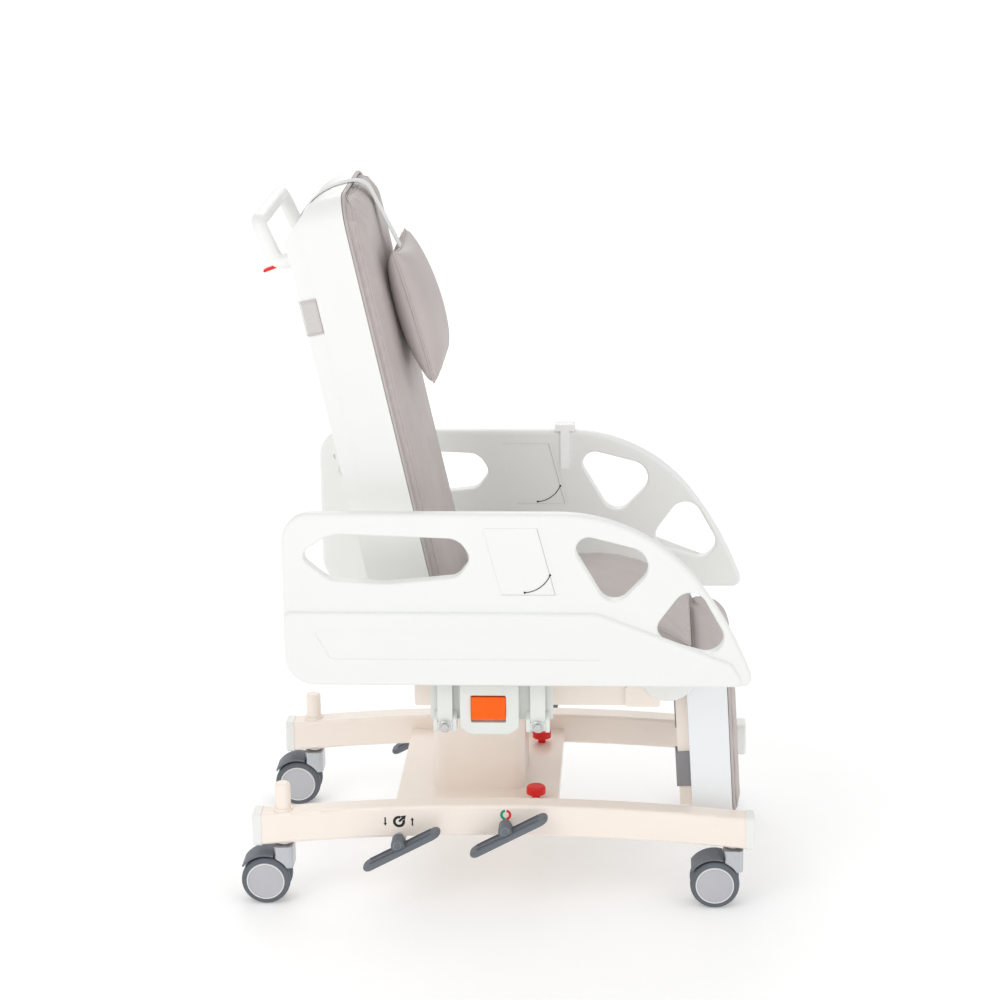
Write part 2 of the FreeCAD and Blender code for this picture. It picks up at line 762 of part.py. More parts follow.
pan_low = frame_top
pan_skin = padded("pan_skin", "XY", rectangle(pan_back_x, pan_front_x, -pan_half, pan_half, pan_round),
                  f"{pan_top - pan_low}", {"z": f"{(pan_top + pan_low) / 2}"})
pan_skin = rounded_edges("pan_rounded", pan_skin, 8, flat_at("Z", pan_low))
pan_hollow = padded("pan_hollow", "XY", rectangle(pan_back_x + pan_wall, pan_front_x - pan_wall,
                                                  -pan_half + pan_wall, pan_half - pan_wall,
                                                  pan_round - pan_wall),
                    f"{pan_top - pan_low - 2 * pan_wall}", {"z": f"{(pan_top + pan_low) / 2}"})
pan_lip = block("pan_lip",
                ["Sizes.pan_front_x - 40", "-Sizes.seat_half + 8", "Sizes.pan_top - Sizes.pan_wall"],
                ["Sizes.seat_front_x - 10", "Sizes.seat_half - 8", "Sizes.pan_top"])
node(join("seat_pan", cut("pan_tray", pan_skin, pan_hollow), pan_lip))


# Cushions: a side outline, an end outline and a plan outline, each with its crown or drawn-in sides


def bowed(x0, x1, y0, y1, bow):
    """A rectangle whose four sides bow out by this much, or in where it is negative."""
    mid_x, mid_y = (x0 + x1) / 2, (y0 + y1) / 2
    return arc_band([
        (x0, y0),
        ((mid_x, y0 - bow), (x1, y0)),
        ((x1 + bow, mid_y), (x1, y1)),
        ((mid_x, y1 + bow), (x0, y1)),
        ((x0 - bow, mid_y), (x0, y0)),
    ])


def crowned(x0, x1, y0, y1, crown, bow):
    """A section: flat below, sides that bulge and a crowned top."""
    mid_x, mid_y = (x0 + x1) / 2, (y0 + y1) / 2
    return arc_band([
        (x0 + bow, y0),
        (x1 - bow, y0),
        ((x1, mid_y), (x1 - bow, y1)),
        ((mid_x, y1 + crown), (x0 + bow, y1)),
        ((x0, mid_y), (x0 + bow, y0)),
    ])


seat_low = pan_top + gap
seat_top = seat_low + seat_thick
fall_mid = (seat_fall_x + seat_front_x) / 2
fall_side = arc_band([
    (pan_back_x + cushion_bow, seat_low),
    (seat_front_x - cushion_bow, seat_low),
    (seat_front_x, seat_top - seat_fall),
    ((fall_mid, seat_top - seat_fall * 0.22), (seat_fall_x, seat_top)),
    (pan_back_x + cushion_bow, seat_top),
    ((pan_back_x, (seat_low + seat_top) / 2), (pan_back_x + cushion_bow, seat_low)),
])
seat_mid_x = (pan_back_x + seat_front_x) / 2
seat_side = padded("seat_side", "XZ", fall_side, "3 * Sizes.seat_half")
seat_end = padded("seat_end", "YZ",
                  crowned(-seat_half, seat_half, seat_low, seat_top - cushion_crown, cushion_crown,
                                            2 * cushion_bow), "4 * Sizes.seat_front_x")
seat_plan = padded("seat_plan", "XY", bowed(pan_back_x, seat_front_x, -seat_half, seat_half, -cushion_bow),
                   "4 * Sizes.pan_top")
node(common("seat_cushion", seat_side, seat_end, seat_plan))


# Hinge ears welded to the seat frame, each with its own stub pin


frame_side = frame_y + tube / 2
ear_face = max(frame_side, back_half + side_clear, seat_half + cover_clear - ear_thick,
               leg_half + cover_clear - ear_thick)
ear_out = ear_face + ear_thick
frame_block = block("ear_notch", ["Sizes.swing_back_x - Sizes.tube / 2 - Sizes.gap", "-Sizes.housing_back",
                                  "Sizes.frame_bottom - Sizes.gap"],
                    ["Sizes.swing_back_x + Sizes.tube / 2 + Sizes.gap", "Sizes.housing_back",
                     frame_high + " + Sizes.gap"])


def make_ear(name, foot, x, z, reach, side, sign):
    """A plate from the frame's side up to a hinge, with a stub pin that reaches inwards."""
    low_x, high_x = foot
    slope = ear_radius * math.sqrt(0.5)
    sole = [(low_x, frame_bottom, ear_corner), (high_x, frame_bottom, ear_corner), (high_x, frame_top, 0)]
    outline = rounded(sole + [(x + ear_radius, z, 0), (x + slope, z + slope, 0), (x, z + ear_radius, 0),
                              (x - slope, z + slope, 0), (x - ear_radius, z, 0), (low_x, frame_top, 0)])
    plate = padded(f"{side}_{name}_plate", "XZ", outline, "Sizes.ear_thick",
                   {"y": f"{sign} * ({ear_face} + Sizes.ear_thick / 2)"})
    seat = padded(f"{side}_{name}_foot", "XZ", rounded(sole + [(low_x, frame_top, 0)]),
                  f"{ear_out - frame_side}",
                  {"y": f"{sign * (ear_out + frame_side) / 2}"})
    pin = bar(f"{side}_{name}_pin", "Sizes.ear_pin", f"{reach}", Vector(x, sign * ear_out, z),
              Vector(0, -sign, 0))
    clear = cut(f"{side}_{name}_cheek", join(f"{side}_{name}_web", plate, seat), frame_block)
    return join(f"{side}_{name}_ear", clear, pin)


back_reach = ear_pin_length + ear_face - back_half - side_clear
back_ears = [make_ear("back", (frame_back_x, frame_back_x + back_foot), back_hinge_x, back_hinge_z,
                      back_reach,
                      side, sign) for side, sign in SIDES]
leg_ears = [make_ear("leg", (frame_front_x - leg_foot, frame_front_x), leg_hinge_x, leg_hinge_z,
                     ear_pin_length,
                     side, sign) for side, sign in SIDES]
node(grouped("hinge_ears", *back_ears, *leg_ears))
covers = []
for side, sign in SIDES:
    outline = rounded([(0, 0, 0), (hinge_cover_radius, 0, 0), (hinge_cover_radius, hinge_cover_thick, 6),
                       (0, hinge_cover_thick, 0)])
    cover = turned(f"{side}_hinge_cover", "XZ", outline, "V_Axis")
    cover.Placement = Placement(Vector(leg_hinge_x, sign * ear_out, leg_hinge_z),
                                Rotation(Vector(0, 0, 1), Vector(0, sign, 0)))
    covers.append(cover)
node(grouped("leg_hinge_covers", *covers))


# Backrest, drawn in its own frame: X out of the front, Z up the back, the hinge at the origin


back_place = Placement(Vector(back_hinge_x, 0, back_hinge_z), Rotation(Vector(0, 1, 0), -back_tilt))


def on_back(piece):
    piece.Placement = back_place.multiply(piece.Placement)
    return piece


shell_rear = back_front - shell_depth
cover_rear = shell_rear - cover_depth


def back_slab(label, x0, x1, inset, crest):
    """A slab of the back between two depths: rounded top corners, and a crest that falls to the rear."""
    low, high = -back_below + inset, back_above - inset
    half = back_half - inset
    front = padded(f"{label}_front", "YZ", rounded([
        (-half, low, 16), (half, low, 16), (half, high, back_corner - inset), (-half, high,
                                                                               back_corner - inset)]),
        f"{x1 - x0}", {"x": f"{(x0 + x1) / 2}"})
    depth = back_front - cover_rear
    side = padded(f"{label}_side", "XZ", arc_band([
        (cover_rear - 5, low - 5), (back_front + 5, low - 5), (back_front + 5,
                                                               high - crest * 0.02), (back_front, high),
        ((back_front - depth * 0.62, high - crest * 0.3), (cover_rear - 5, high - crest * 1.15))]),
        "4 * Sizes.back_half")
    return common(label, front, side)


shell_skin = back_slab("shell_skin", shell_rear, back_front, 0, back_crest)
shell_hollow = back_slab("shell_hollow", shell_rear + shell_wall, back_front + 1, shell_wall, back_crest)
bosses = []
boss_bores = []
for side, sign in SIDES:
    bosses.append(bar(f"{side}_hinge_boss", "2 * Sizes.ear_pin", "Sizes.ear_pin_length",
                      Vector(0, sign * back_half, 0), Vector(0, -sign, 0)))
    boss_bores.append(bar(f"{side}_hinge_bore", "Sizes.ear_pin + Sizes.running", "Sizes.ear_pin_length + 2",
                          Vector(0, sign * (back_half + 1), 0), Vector(0, -sign, 0)))
shell_body = join("shell_body", cut("shell_tray", shell_skin, shell_hollow), *bosses)
node(on_back(cut("back_shell", shell_body, *boss_bores)))

cover_skin = back_slab("cover_skin", cover_rear, shell_rear, 2, back_crest)
cover_hollow = back_slab("cover_hollow", cover_rear + shell_wall, shell_rear + 1, 2 + shell_wall, back_crest)
lever_y = -handle_half + 60
lugs = []
lug_bores = []
for k in (-1, 1):
    lug_y = lever_y + k * (lever_width / 2 + gap + lug_thick / 2)
    lug_mid = cover_rear - lever_root - 2
    lugs.append(padded(f"lever_lug_{k + 1}", "XZ", rounded([
        (cover_rear + 1, lever_up - 12, 0), (cover_rear + 1, lever_up + 12, 0),
        (lug_mid - 7, lever_up + 7, 5), (lug_mid - 7, lever_up - 7,
                                         5)]), "Sizes.lug_thick", {"y": f"{lug_y}"}))
    lug_bores.append(padded(f"lever_lug_bore_{k + 1}", "XZ", circle(lug_mid, lever_up, lever_pin + running),
                            "2 * Sizes.lug_thick", {"y": f"{lug_y}"}))
cover_form = join("cover_form", cut("cover_tray", cover_skin, cover_hollow), *lugs)
node(on_back(cut("back_rear_cover", cover_form, *lug_bores)))

band_back = back_half - 2 + band_thick
band_skin = padded("band_skin", "XY", rounded([
    (cover_rear - band_thick, -band_back, 10), (shell_rear - 1, -band_back, 0),
    (shell_rear - 1, band_back, 0), (cover_rear - band_thick, band_back, 10)]),
    "Sizes.band_tall", {"z": "Sizes.band_low + Sizes.band_tall / 2"})
band_hollow = padded("band_hollow", "XY", rectangle(cover_rear - gap, shell_rear + 5, -back_half + 2 - gap,
                                                    back_half - 2 + gap),
                     "2 * Sizes.band_tall", {"z": "Sizes.band_low + Sizes.band_tall / 2"})
node(on_back(cut("rear_band", band_skin, band_hollow)))

pad_low = back_front + gap
pad_high = pad_low + back_pad
back_pad_end = padded("back_pad_end", "XY", arc_band([
    (pad_low, -back_half + 4), (pad_low, back_half - 4), (pad_high - cushion_crown, back_half),
    ((pad_high, 0), (pad_high - cushion_crown, -back_half))]),
    "4 * Sizes.back_above")
back_pad_side = padded("back_pad_side", "XZ", arc_band([
    (pad_low, -back_below), ((pad_low + back_pad * 0.55, -back_below), (pad_high, -back_below + 18)),
    (pad_high, back_above - 30), ((pad_high - 12, back_above - 8), (pad_low, back_above))]),
    "4 * Sizes.back_half")
back_pad_front = padded("back_pad_front", "YZ", rounded([
    (-back_half, -back_below, 16), (back_half, -back_below, 16), (back_half, back_above, back_corner),
    (-back_half, back_above, back_corner)]), "8 * Sizes.back_pad")
node(on_back(common("back_cushion", back_pad_end, back_pad_side, back_pad_front)))


# Push handle: a bent tube across the rear of the back


def tube_along(label, points, radius, bend):
    """A round tube along straight runs joined by tangent arcs."""
    edges = []
    here = points[0]
    for k in range(1, len(points) - 1):
        corner = points[k]
        into = (points[k - 1] - corner).normalize()
        out = (points[k + 1] - corner).normalize()
        half = into.getAngle(out) / 2
        reach = bend / math.tan(half)
        middle = corner + (into + out).normalize() * (bend / math.sin(half) - bend)
        edges.append(Part.LineSegment(here, corner + into * reach).toShape())
        edges.append(Part.Arc(corner + into * reach, middle, corner + out * reach).toShape())
        here = corner + out * reach
    edges.append(Part.LineSegment(here, points[-1]).toShape())
    path = Part.Wire(edges)
    start = points[0]
    ring = Part.Wire([Part.Circle(start, points[1] - start, radius).toShape()])
    tube_piece = doc.addObject("Part::Feature", label)
    tube_piece.Label = label
    tube_piece.Shape = path.makePipeShell([ring], True, False)
    return tube_piece


grip_x = cover_rear - handle_reach
stand = cover_rear - handle_reach * 0.6
handle_path = [Vector(cover_rear, -handle_half, handle_foot), Vector(stand, -handle_half, handle_foot),
               Vector(grip_x, -handle_half, handle_up), Vector(grip_x, handle_half, handle_up),
               Vector(stand, handle_half, handle_foot), Vector(cover_rear, handle_half, handle_foot)]
node(on_back(tube_along("push_handle", handle_path, handle_radius, handle_bend)))


# Recline lever, on a pin between two lugs of the rear cover


lever_pivot = cover_rear - lever_root - 2
lever_half = lever_thick / 2
lever_tip = lever_pivot - lever_length
blade = padded("lever_blade", "XZ", rounded([
    (lever_pivot, lever_up - lever_half, 0), (lever_pivot, lever_up + lever_half, 0),
    (lever_tip, lever_up - lever_thick, lever_half - 0.5), (lever_tip, lever_up - 2 * lever_thick,
                                                            lever_half - 0.5)]),
    "Sizes.lever_width", {"y": f"{lever_y}"})
root = padded("lever_root_round", "XZ", circle(lever_pivot, lever_up, lever_root), "Sizes.lever_width",
              {"y": f"{lever_y}"})
trunnion = bar("lever_trunnion", "Sizes.lever_pin", f"{lever_width + 2 * (gap + lug_thick)}",
               Vector(lever_pivot, lever_y - lever_width / 2 - gap - lug_thick, lever_up), Vector(0, 1, 0))
node(on_back(join("recline_lever", blade, root, trunnion)))


# Head pillow hung on a strap over the top of the back


lean = math.radians(4)
pillow_mid = pillow_low + pillow_tall / 2
pillow_back = pad_high + gap
lens = pillow_thick / 2


def lens_outline(half_length, half_thick):
    """Two shallow arcs that meet at the seam."""
    rim = 2
    return arc_band([
        (rim, -half_length), ((half_thick, 0), (rim, half_length)), (-rim, half_length),
        ((-half_thick, 0), (-rim, -half_length))])


pillow_side = padded("pillow_side", "XZ", lens_outline(pillow_tall / 2, lens), "4 * Sizes.pillow_half")
pillow_end = padded("pillow_end", "XY", lens_outline(pillow_half, lens), "4 * Sizes.pillow_tall")
pillow_front = padded("pillow_front", "YZ",
                      bowed(-pillow_half, pillow_half, -pillow_tall / 2, pillow_tall / 2,
                                                  -pillow_draw), "4 * Sizes.pillow_thick")
pillow = common("head_pillow", pillow_side, pillow_end, pillow_front)
pillow.Placement = Placement(Vector(pillow_back + lens + 1, 0, pillow_mid), Rotation(Vector(0, 1, 0), -4))
node(on_back(pillow))

strap_top = back_above + gap
strap_low = pillow_mid + pillow_tall / 2 - pillow_draw
pillow_seam = pillow_back + lens - math.sin(lean) * pillow_tall / 2 - 2
depth = back_front - cover_rear
crest_mid = (back_front - depth * 0.62, strap_top - back_crest * 0.3)
crest_end = (cover_rear - 5 - gap, strap_top - back_crest * 1.15)
wrap = 3 * gap
out = strap_thick
strap_outline = arc_band([
    (pillow_seam, strap_low + 2), (pad_high + wrap, back_above - 30),
    ((pad_high - 12 + wrap, back_above - 8 + wrap), (pad_low, strap_top)), (back_front, strap_top),
    (crest_mid, crest_end), (crest_end[0], crest_end[1] - 60), (crest_end[0] - out, crest_end[1] - 60),
    (crest_end[0] - out, crest_end[1] + out * 0.6),
    ((crest_mid[0], crest_mid[1] + out), (back_front, strap_top + out)), (pad_low, strap_top + out),
    ((pad_high - 12 + wrap + out * 0.7, back_above - 8 + wrap + out * 0.7),
     (pad_high + wrap + out, back_above - 30)),
    (pillow_seam + out, strap_low + 3)])
node(on_back(padded("pillow_strap", "XZ", strap_outline, "Sizes.strap_width")))


# Leg rest, drawn in its own frame: X out of the front, Z up, the hinge at the origin


leg_place = Placement(Vector(leg_hinge_x, 0, leg_hinge_z), Rotation(Vector(0, 1, 0), -leg_tilt))


def on_leg(piece):
    piece.Placement = leg_place.multiply(piece.Placement)
    return piece


arms = []
for side, sign in SIDES:
    hub = padded(f"{side}_leg_hub", "XZ", circle(0, 0, hub_round), "Sizes.arm_tube",
                 {"y": f"{sign} * Sizes.arm_y"})
    upright = block(f"{side}_leg_upright",
                    [f"{leg_back} - Sizes.arm_tube - Sizes.gap",
                     f"{sign} * Sizes.arm_y - Sizes.arm_tube / 2",
                                            "-Sizes.arm_length"],
                    [f"{leg_back} - Sizes.gap", f"{sign} * Sizes.arm_y + Sizes.arm_tube / 2", "-4"])
    arms += [hub, upright]
cross = bar("leg_cross_shaft", "Sizes.ear_pin + 5", f"{2 * (ear_face - gap)}",
            Vector(0, -(ear_face - gap), 0), Vector(0, 1, 0))
pin_bores = [bar(f"{side}_leg_pin_bore", "Sizes.ear_pin + Sizes.running", "Sizes.ear_pin_length",
                 Vector(0, sign * ear_out, 0), Vector(0, -sign, 0)) for side, sign in SIDES]
node(on_leg(cut("leg_arms", join("leg_arm_form", cross, *arms), *pin_bores)))


pad_front = leg_front + leg_pad
nose_start = pad_front - leg_nose * 0.85


def nose(inset):
    """The rounded upper front of the leg rest, inset from the cushion's face, from the top down."""
    swell = inset * math.sqrt(0.5)
    return [(nose_start, leg_top - inset),
            ((pad_front - leg_nose * 0.3 - swell, leg_top - leg_nose * 0.3 - swell),
             (pad_front - inset, leg_top - leg_nose))]


def nose_upwards(inset):
    """The same curve from the front up to the top."""
    start, (middle, end) = nose(inset)
    return [end, (middle, start)]


def leg_outline(inset):
    """The leg panel's side: a straight back, a rounded upper front and a square foot."""
    top = leg_top - leg_pad - inset
    return arc_band([(leg_back + inset, -leg_low + inset), (leg_back + inset, top - leg_shoulder),
                     (leg_back + leg_shoulder + inset / 2, top), *nose(leg_pad + inset),
                     (leg_front - inset, -leg_low + inset)])


panel_skin = padded("leg_panel_skin", "XZ", leg_outline(0), "2 * Sizes.leg_half")
panel_hollow = padded("leg_panel_hollow", "XZ", leg_outline(leg_wall),
                      "2 * (Sizes.leg_half - Sizes.leg_wall)")
node(on_leg(cut("leg_panel", panel_skin, panel_hollow)))

pad_foot = -leg_low + leg_wall
pad_heel = leg_back + leg_shoulder
leg_pad_side = padded("leg_pad_side", "XZ", arc_band([
    (pad_heel, leg_top - leg_pad + gap), ((pad_heel + 2, leg_top - leg_pad / 3),
                                          (pad_heel + leg_pad / 2, leg_top)),
    *nose(0), (pad_front, pad_foot + leg_pad), ((pad_front - leg_pad / 3, pad_foot + 2),
                                                (leg_front + gap, pad_foot)),
    *nose_upwards(leg_pad - gap)]), "4 * Sizes.leg_half")
leg_pad_plan = padded("leg_pad_plan", "XY", arc_band([
    (leg_back, -leg_half + cushion_bow / 2), (leg_back, leg_half - cushion_bow / 2),
    (pad_front - cushion_bow, leg_half), ((pad_front, 0), (pad_front - cushion_bow, -leg_half))]),
    "4 * Sizes.leg_low")
node(on_leg(common("leg_cushion", leg_pad_side, leg_pad_plan)))

bushes = []
for side, sign in SIDES:
    reach = arm_tube / 2 + bush_wall
    outer = block(f"{side}_bush_skin", [f"{leg_back} - Sizes.arm_tube - Sizes.gap - Sizes.bush_wall",
                                        f"{sign} * Sizes.arm_y - {reach}", "-Sizes.bush_low"],
                  [f"{leg_back}", f"{sign} * Sizes.arm_y + {reach}", "-Sizes.bush_low + Sizes.bush_tall"])
    inner = block(f"{side}_bush_bore", [f"{leg_back} - Sizes.arm_tube - 2 * Sizes.gap",
                                        f"{sign} * Sizes.arm_y - Sizes.arm_tube / 2 - Sizes.gap",
                                        "-2 * Sizes.bush_low"],
                  [f"{leg_back} + 1", f"{sign} * Sizes.arm_y + Sizes.arm_tube / 2 + Sizes.gap",
                   "Sizes.bush_low"])
    bushes.append(cut(f"{side}_leg_bush", outer, inner))
node(on_leg(grouped("leg_bushings", *bushes)))


# Side boards: a moulded panel with three hand holes and a raised lower zone


def shifted(x, z, corners):
    """Corners given from a reference point."""
    return [(x + across, z + up, radius) for across, up, radius in corners]


board_outline = [(board_back_x, board_top, 60), (board_tip_x - board_fall, board_top, 340),
                 (board_tip_x - board_waist, board_bottom + board_waist_up, 740), (board_tip_x,
                                                                                   board_bottom, 18),
                 (board_back_x, board_bottom, 62)]
rear_hole = shifted(board_back_x, board_top, [(32, -85, 18), (98, -41, 70), (348, -51, 40), (372, -92, 24),
                                              (344, -129, 30), (204, -143, 200), (92, -135, 60)])
upper_hole = shifted(board_tip_x, board_top, [(-379, -32, 26), (-176, -85, 39), (-283, -197, 33)])
lower_hole = shifted(board_tip_x, board_top, [(-125, -130, 34), (-28, -304, 34), (-214, -252, 32)])
lower_zone = [(board_back_x + 1, ledge_z, 14), (206, ledge_z, 60), (468, 540, 20),
              (board_tip_x - 20, board_bottom + 2, 12), (board_back_x + 1, board_bottom + 2, 60)]
groove = shifted(board_back_x, ledge_z, [(59, -36, 6), (569, -36, 6), (630, -95, 6), (92, -95, 10)])
gauge_panel = shifted(board_tip_x, board_top,
                      [(-532, -28, 3), (-418, -28, 3), (-383, -164, 3), (-497, -164, 3)])


def make_board():
    """The right board; its outside faces -Y."""
    middle = -(board_inner + board_thick / 2)
    outer = -(board_inner + board_thick)
    skin = padded("board_skin", "XZ", rounded(board_outline), "Sizes.board_thick", {"y": f"{middle}"})
    skin = rounded_edges("board_rounded", skin, board_round, flat_at("Y", outer, -board_inner))
    holes = [padded(f"board_hole_{k}", "XZ", rounded(shape), "4 * Sizes.board_thick", {"y": f"{middle}"})
             for k, shape in enumerate((rear_hole, upper_hole, lower_hole))]
    pierced = cut("board_pierced", skin, *holes)
    doc.recompute()

    rooms = [hole.Shape.BoundBox for hole in holes]

    def hole_edge(edge):
        box = edge.BoundBox
        inside = any(box.XMin > room.XMin - gap and box.XMax < room.XMax + gap and box.ZMin > room.ZMin - gap
                     and box.ZMax < room.ZMax + gap for room in rooms)
        return inside and flat_at("Y", outer, -board_inner)(edge)

    soft = rounded_edges("board_soft", pierced, hole_round, hole_edge)
    zone = padded("board_zone", "XZ", rounded(lower_zone), "Sizes.board_step + 4",
                  {"y": f"{outer - board_step / 2 + 2}"})
    zone = rounded_edges("board_zone_rounded", zone, board_step - 1, flat_at("Y", outer - board_step))
    recess = padded("board_groove", "XZ", rounded(groove), "3", {"y": f"{outer - board_step}"})
    gauges = [padded(f"board_gauge_{k}", "XZ", rounded(gauge_panel), "2 * Sizes.gauge_deep",
                     {"y": f"{face}"})
              for k, face in enumerate((outer, -board_inner))]
    return cut("right_side_board", join("board_form", soft, zone), recess, *gauges)


right_board = node(make_board())
node(mirrored("left_side_board", right_board))

swing_top = swing_z + swing_length
swing_places = (("back", swing_back_x), ("front", swing_front_x))


def make_arm(name, x):
    """A flat arm with an eye at each end, upright between the two pins."""
    plate = padded(f"{name}_arm_plate", "YZ",
                   rectangle(-swing_y - swing_thick / 2, -swing_y + swing_thick / 2,
                                                        swing_z, swing_top), "Sizes.swing_width",
                                                        {"x": f"{x}"})
    eyes = [padded(f"{name}_arm_eye_{k}", "YZ", circle(-swing_y, z, swing_eye), "Sizes.swing_width",
                   {"x": f"{x}"})
            for k, z in enumerate((swing_z, swing_top))]
    bores = [padded(f"{name}_arm_bore_{k}", "YZ", circle(-swing_y, z, swing_pin + running),
                    "2 * Sizes.swing_width",
                    {"x": f"{x}"}) for k, z in enumerate((swing_z, swing_top))]
    return cut(f"{name}_arm", join(f"{name}_arm_form", plate, *eyes), *bores)


right_arms = node(grouped("right_board_arms", *[make_arm(name, x) for name, x in swing_places]))
node(mirrored("left_board_arms", right_arms))

cheek_in = swing_width / 2 + gap
fork_half = cheek_in + cheek


def fork_cheeks(label, x, outline):
    """Two cheeks either side of an arm."""
    return [padded(f"{label}_cheek_{k + 1}", "YZ", outline, "Sizes.cheek",
                   {"x": f"{x + k * (cheek_in + cheek / 2)}"})
            for k in (-1, 1)]


def make_bracket(name, x):
    """A fork on the board's inner face with the arm's upper pin through it."""
    back = -board_inner
    front = -swing_y + swing_eye
    outline = rounded([(back, swing_top - 16, 0), (front, swing_top - 10, 6), (front, swing_top + 10, 6),
                       (back, swing_top + 16, 0)])
    pin = bar(f"{name}_bracket_pin", "Sizes.swing_pin", f"{2 * fork_half}",
              Vector(x - fork_half, -swing_y, swing_top),
              Vector(1, 0, 0))
    return join(f"{name}_bracket", *fork_cheeks(f"{name}_bracket", x, outline), pin)


right_brackets = node(grouped("right_board_brackets", *[make_bracket(name, x) for name, x in swing_places]))
node(mirrored("left_board_brackets", right_brackets))


latch_pin_start = Vector(handle_mid_x - handle_wide / 2 - 5, -housing_out + handle_deep / 2,
                         handle_low + handle_tall - handle_pin_drop)


def make_housing():
    """The latch housing: a moulded cover between two knuckles, on a plate across the frame's beam ends."""
    cover_mid = (housing_back_x + housing_front_x) / 2
    cover = padded("housing_cover", "XZ", rounded([
        (housing_back_x, housing_top, 0), (housing_front_x, housing_top, 0), (housing_front_x,
                                                                              housing_low + 14, 10),
        (housing_front_x - 20, housing_low, 14), (housing_back_x + 20, housing_low, 14),
        (housing_back_x, housing_low + 14, 10)]), f"{housing_out - housing_back}",
        {"y": f"{-(housing_out + housing_back) / 2}"})
    cover = rounded_edges("housing_rounded", cover, 4, flat_at("Y", -housing_out))
    window = padded("housing_window", "XZ",
                    rectangle(handle_mid_x - handle_wide / 2 - 1, handle_mid_x + handle_wide / 2 + 1,
                                                      handle_low - 8,
                                                      handle_low + handle_tall + handle_room, 3),
                    f"{2 * (handle_deep + 1)}", {"y": f"{-housing_out}"})
    plate = block("housing_plate",
                  ["Sizes.swing_back_x - 30", "-Sizes.housing_back - 4", "Sizes.frame_bottom - 4"],
                  ["Sizes.swing_front_x + 30", "-Sizes.housing_back", "Sizes.housing_top"])
    pin_bore = bar("latch_pin_bore", "Sizes.handle_pin + Sizes.running", "Sizes.handle_wide + 12",
                   latch_pin_start - Vector(1, 0, 0), Vector(1, 0, 0))
    pieces = [cut("housing_shell", cover, window, pin_bore), plate]
    for name, x in swing_places:
        outline = rounded([(-housing_back, swing_z - 14, 6), (-swing_y - 9, swing_z - 14, 8),
                           (-swing_y - 9, swing_z + 14, 6), (-housing_back, swing_z + 30, 0)])
        pieces += fork_cheeks(f"{name}_knuckle", x, outline)
        pieces.append(bar(f"{name}_knuckle_pin", "Sizes.swing_pin", f"{2 * fork_half}",
                          Vector(x - fork_half, -swing_y, swing_z), Vector(1, 0, 0)))
    return join("right_latch_housing", *pieces)


right_housing = node(make_housing())
node(mirrored("left_latch_housing", right_housing))

latch_outer = housing_out + 3
latch_inner = housing_out - handle_deep + 1
latch_blade = padded("latch_blade", "YZ", arc_band([
    (-latch_outer + 1, handle_low + handle_tall),
    ((-latch_outer - 1, handle_low + handle_tall * 0.5), (-latch_outer + 1, handle_low)),
    (-latch_inner, handle_low), (-latch_inner, handle_low + handle_tall)]),
    "Sizes.handle_wide", {"x": "Sizes.handle_mid_x"})
latch_pin = bar("latch_pin", "Sizes.handle_pin", "Sizes.handle_wide + 10", latch_pin_start, Vector(1, 0, 0))
right_latch = node(join("right_latch_handle", latch_blade, latch_pin))
node(mirrored("left_latch_handle", right_latch))

clip_in = board_inner - gap
clip_out = board_inner + board_thick + gap
clip_top = board_top + gap
clip_hook = padded("clip_hook", "YZ", arc_band([
    (clip_in, board_top - clip_drop), (clip_in, clip_top), (clip_out, clip_top), (clip_out,
                                                                                  board_top - clip_hold),
    (clip_out + clip_wall, board_top - clip_hold), (clip_out + clip_wall, clip_top + clip_wall),
    (clip_in - clip_wall, clip_top + clip_wall), (clip_in - clip_wall, board_top - clip_drop)]),
    "Sizes.clip_width", {"x": "Sizes.clip_x"})
clip_bar = padded("clip_bar", "XZ", rectangle(clip_x - clip_cap / 2, clip_x + clip_cap / 2, clip_top,
                                              clip_top + clip_cap_tall, clip_cap_tall / 3),
                  f"{clip_out - clip_in + 2 * clip_wall}", {"y": f"{(clip_out + clip_in) / 2}"})
node(join("accessory_clip", clip_hook, clip_bar))


# Recompute, check and write


doc.recompute()
faults = [item.Label for item in doc.Objects if any(word in item.State for word in ("Invalid", "Error"))]
for piece in nodes:
    if piece.Shape.isNull() or not piece.Shape.isValid() or not piece.Shape.Solids:
        faults.append(piece.Label)
if faults:
    raise RuntimeError("failed: " + ", ".join(sorted(set(faults))))
for piece in nodes:
    piece.Shape.exportStep(f"parts/{piece.Label}.step")
print(len(nodes), "nodes,", sum(len(piece.Shape.Solids) for piece in nodes), "solids")
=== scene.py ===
import json
import math

import bmesh
import bpy
import numpy as np
from bpy.props import FloatProperty, FloatVectorProperty, PointerProperty
from mathutils import Matrix, Vector


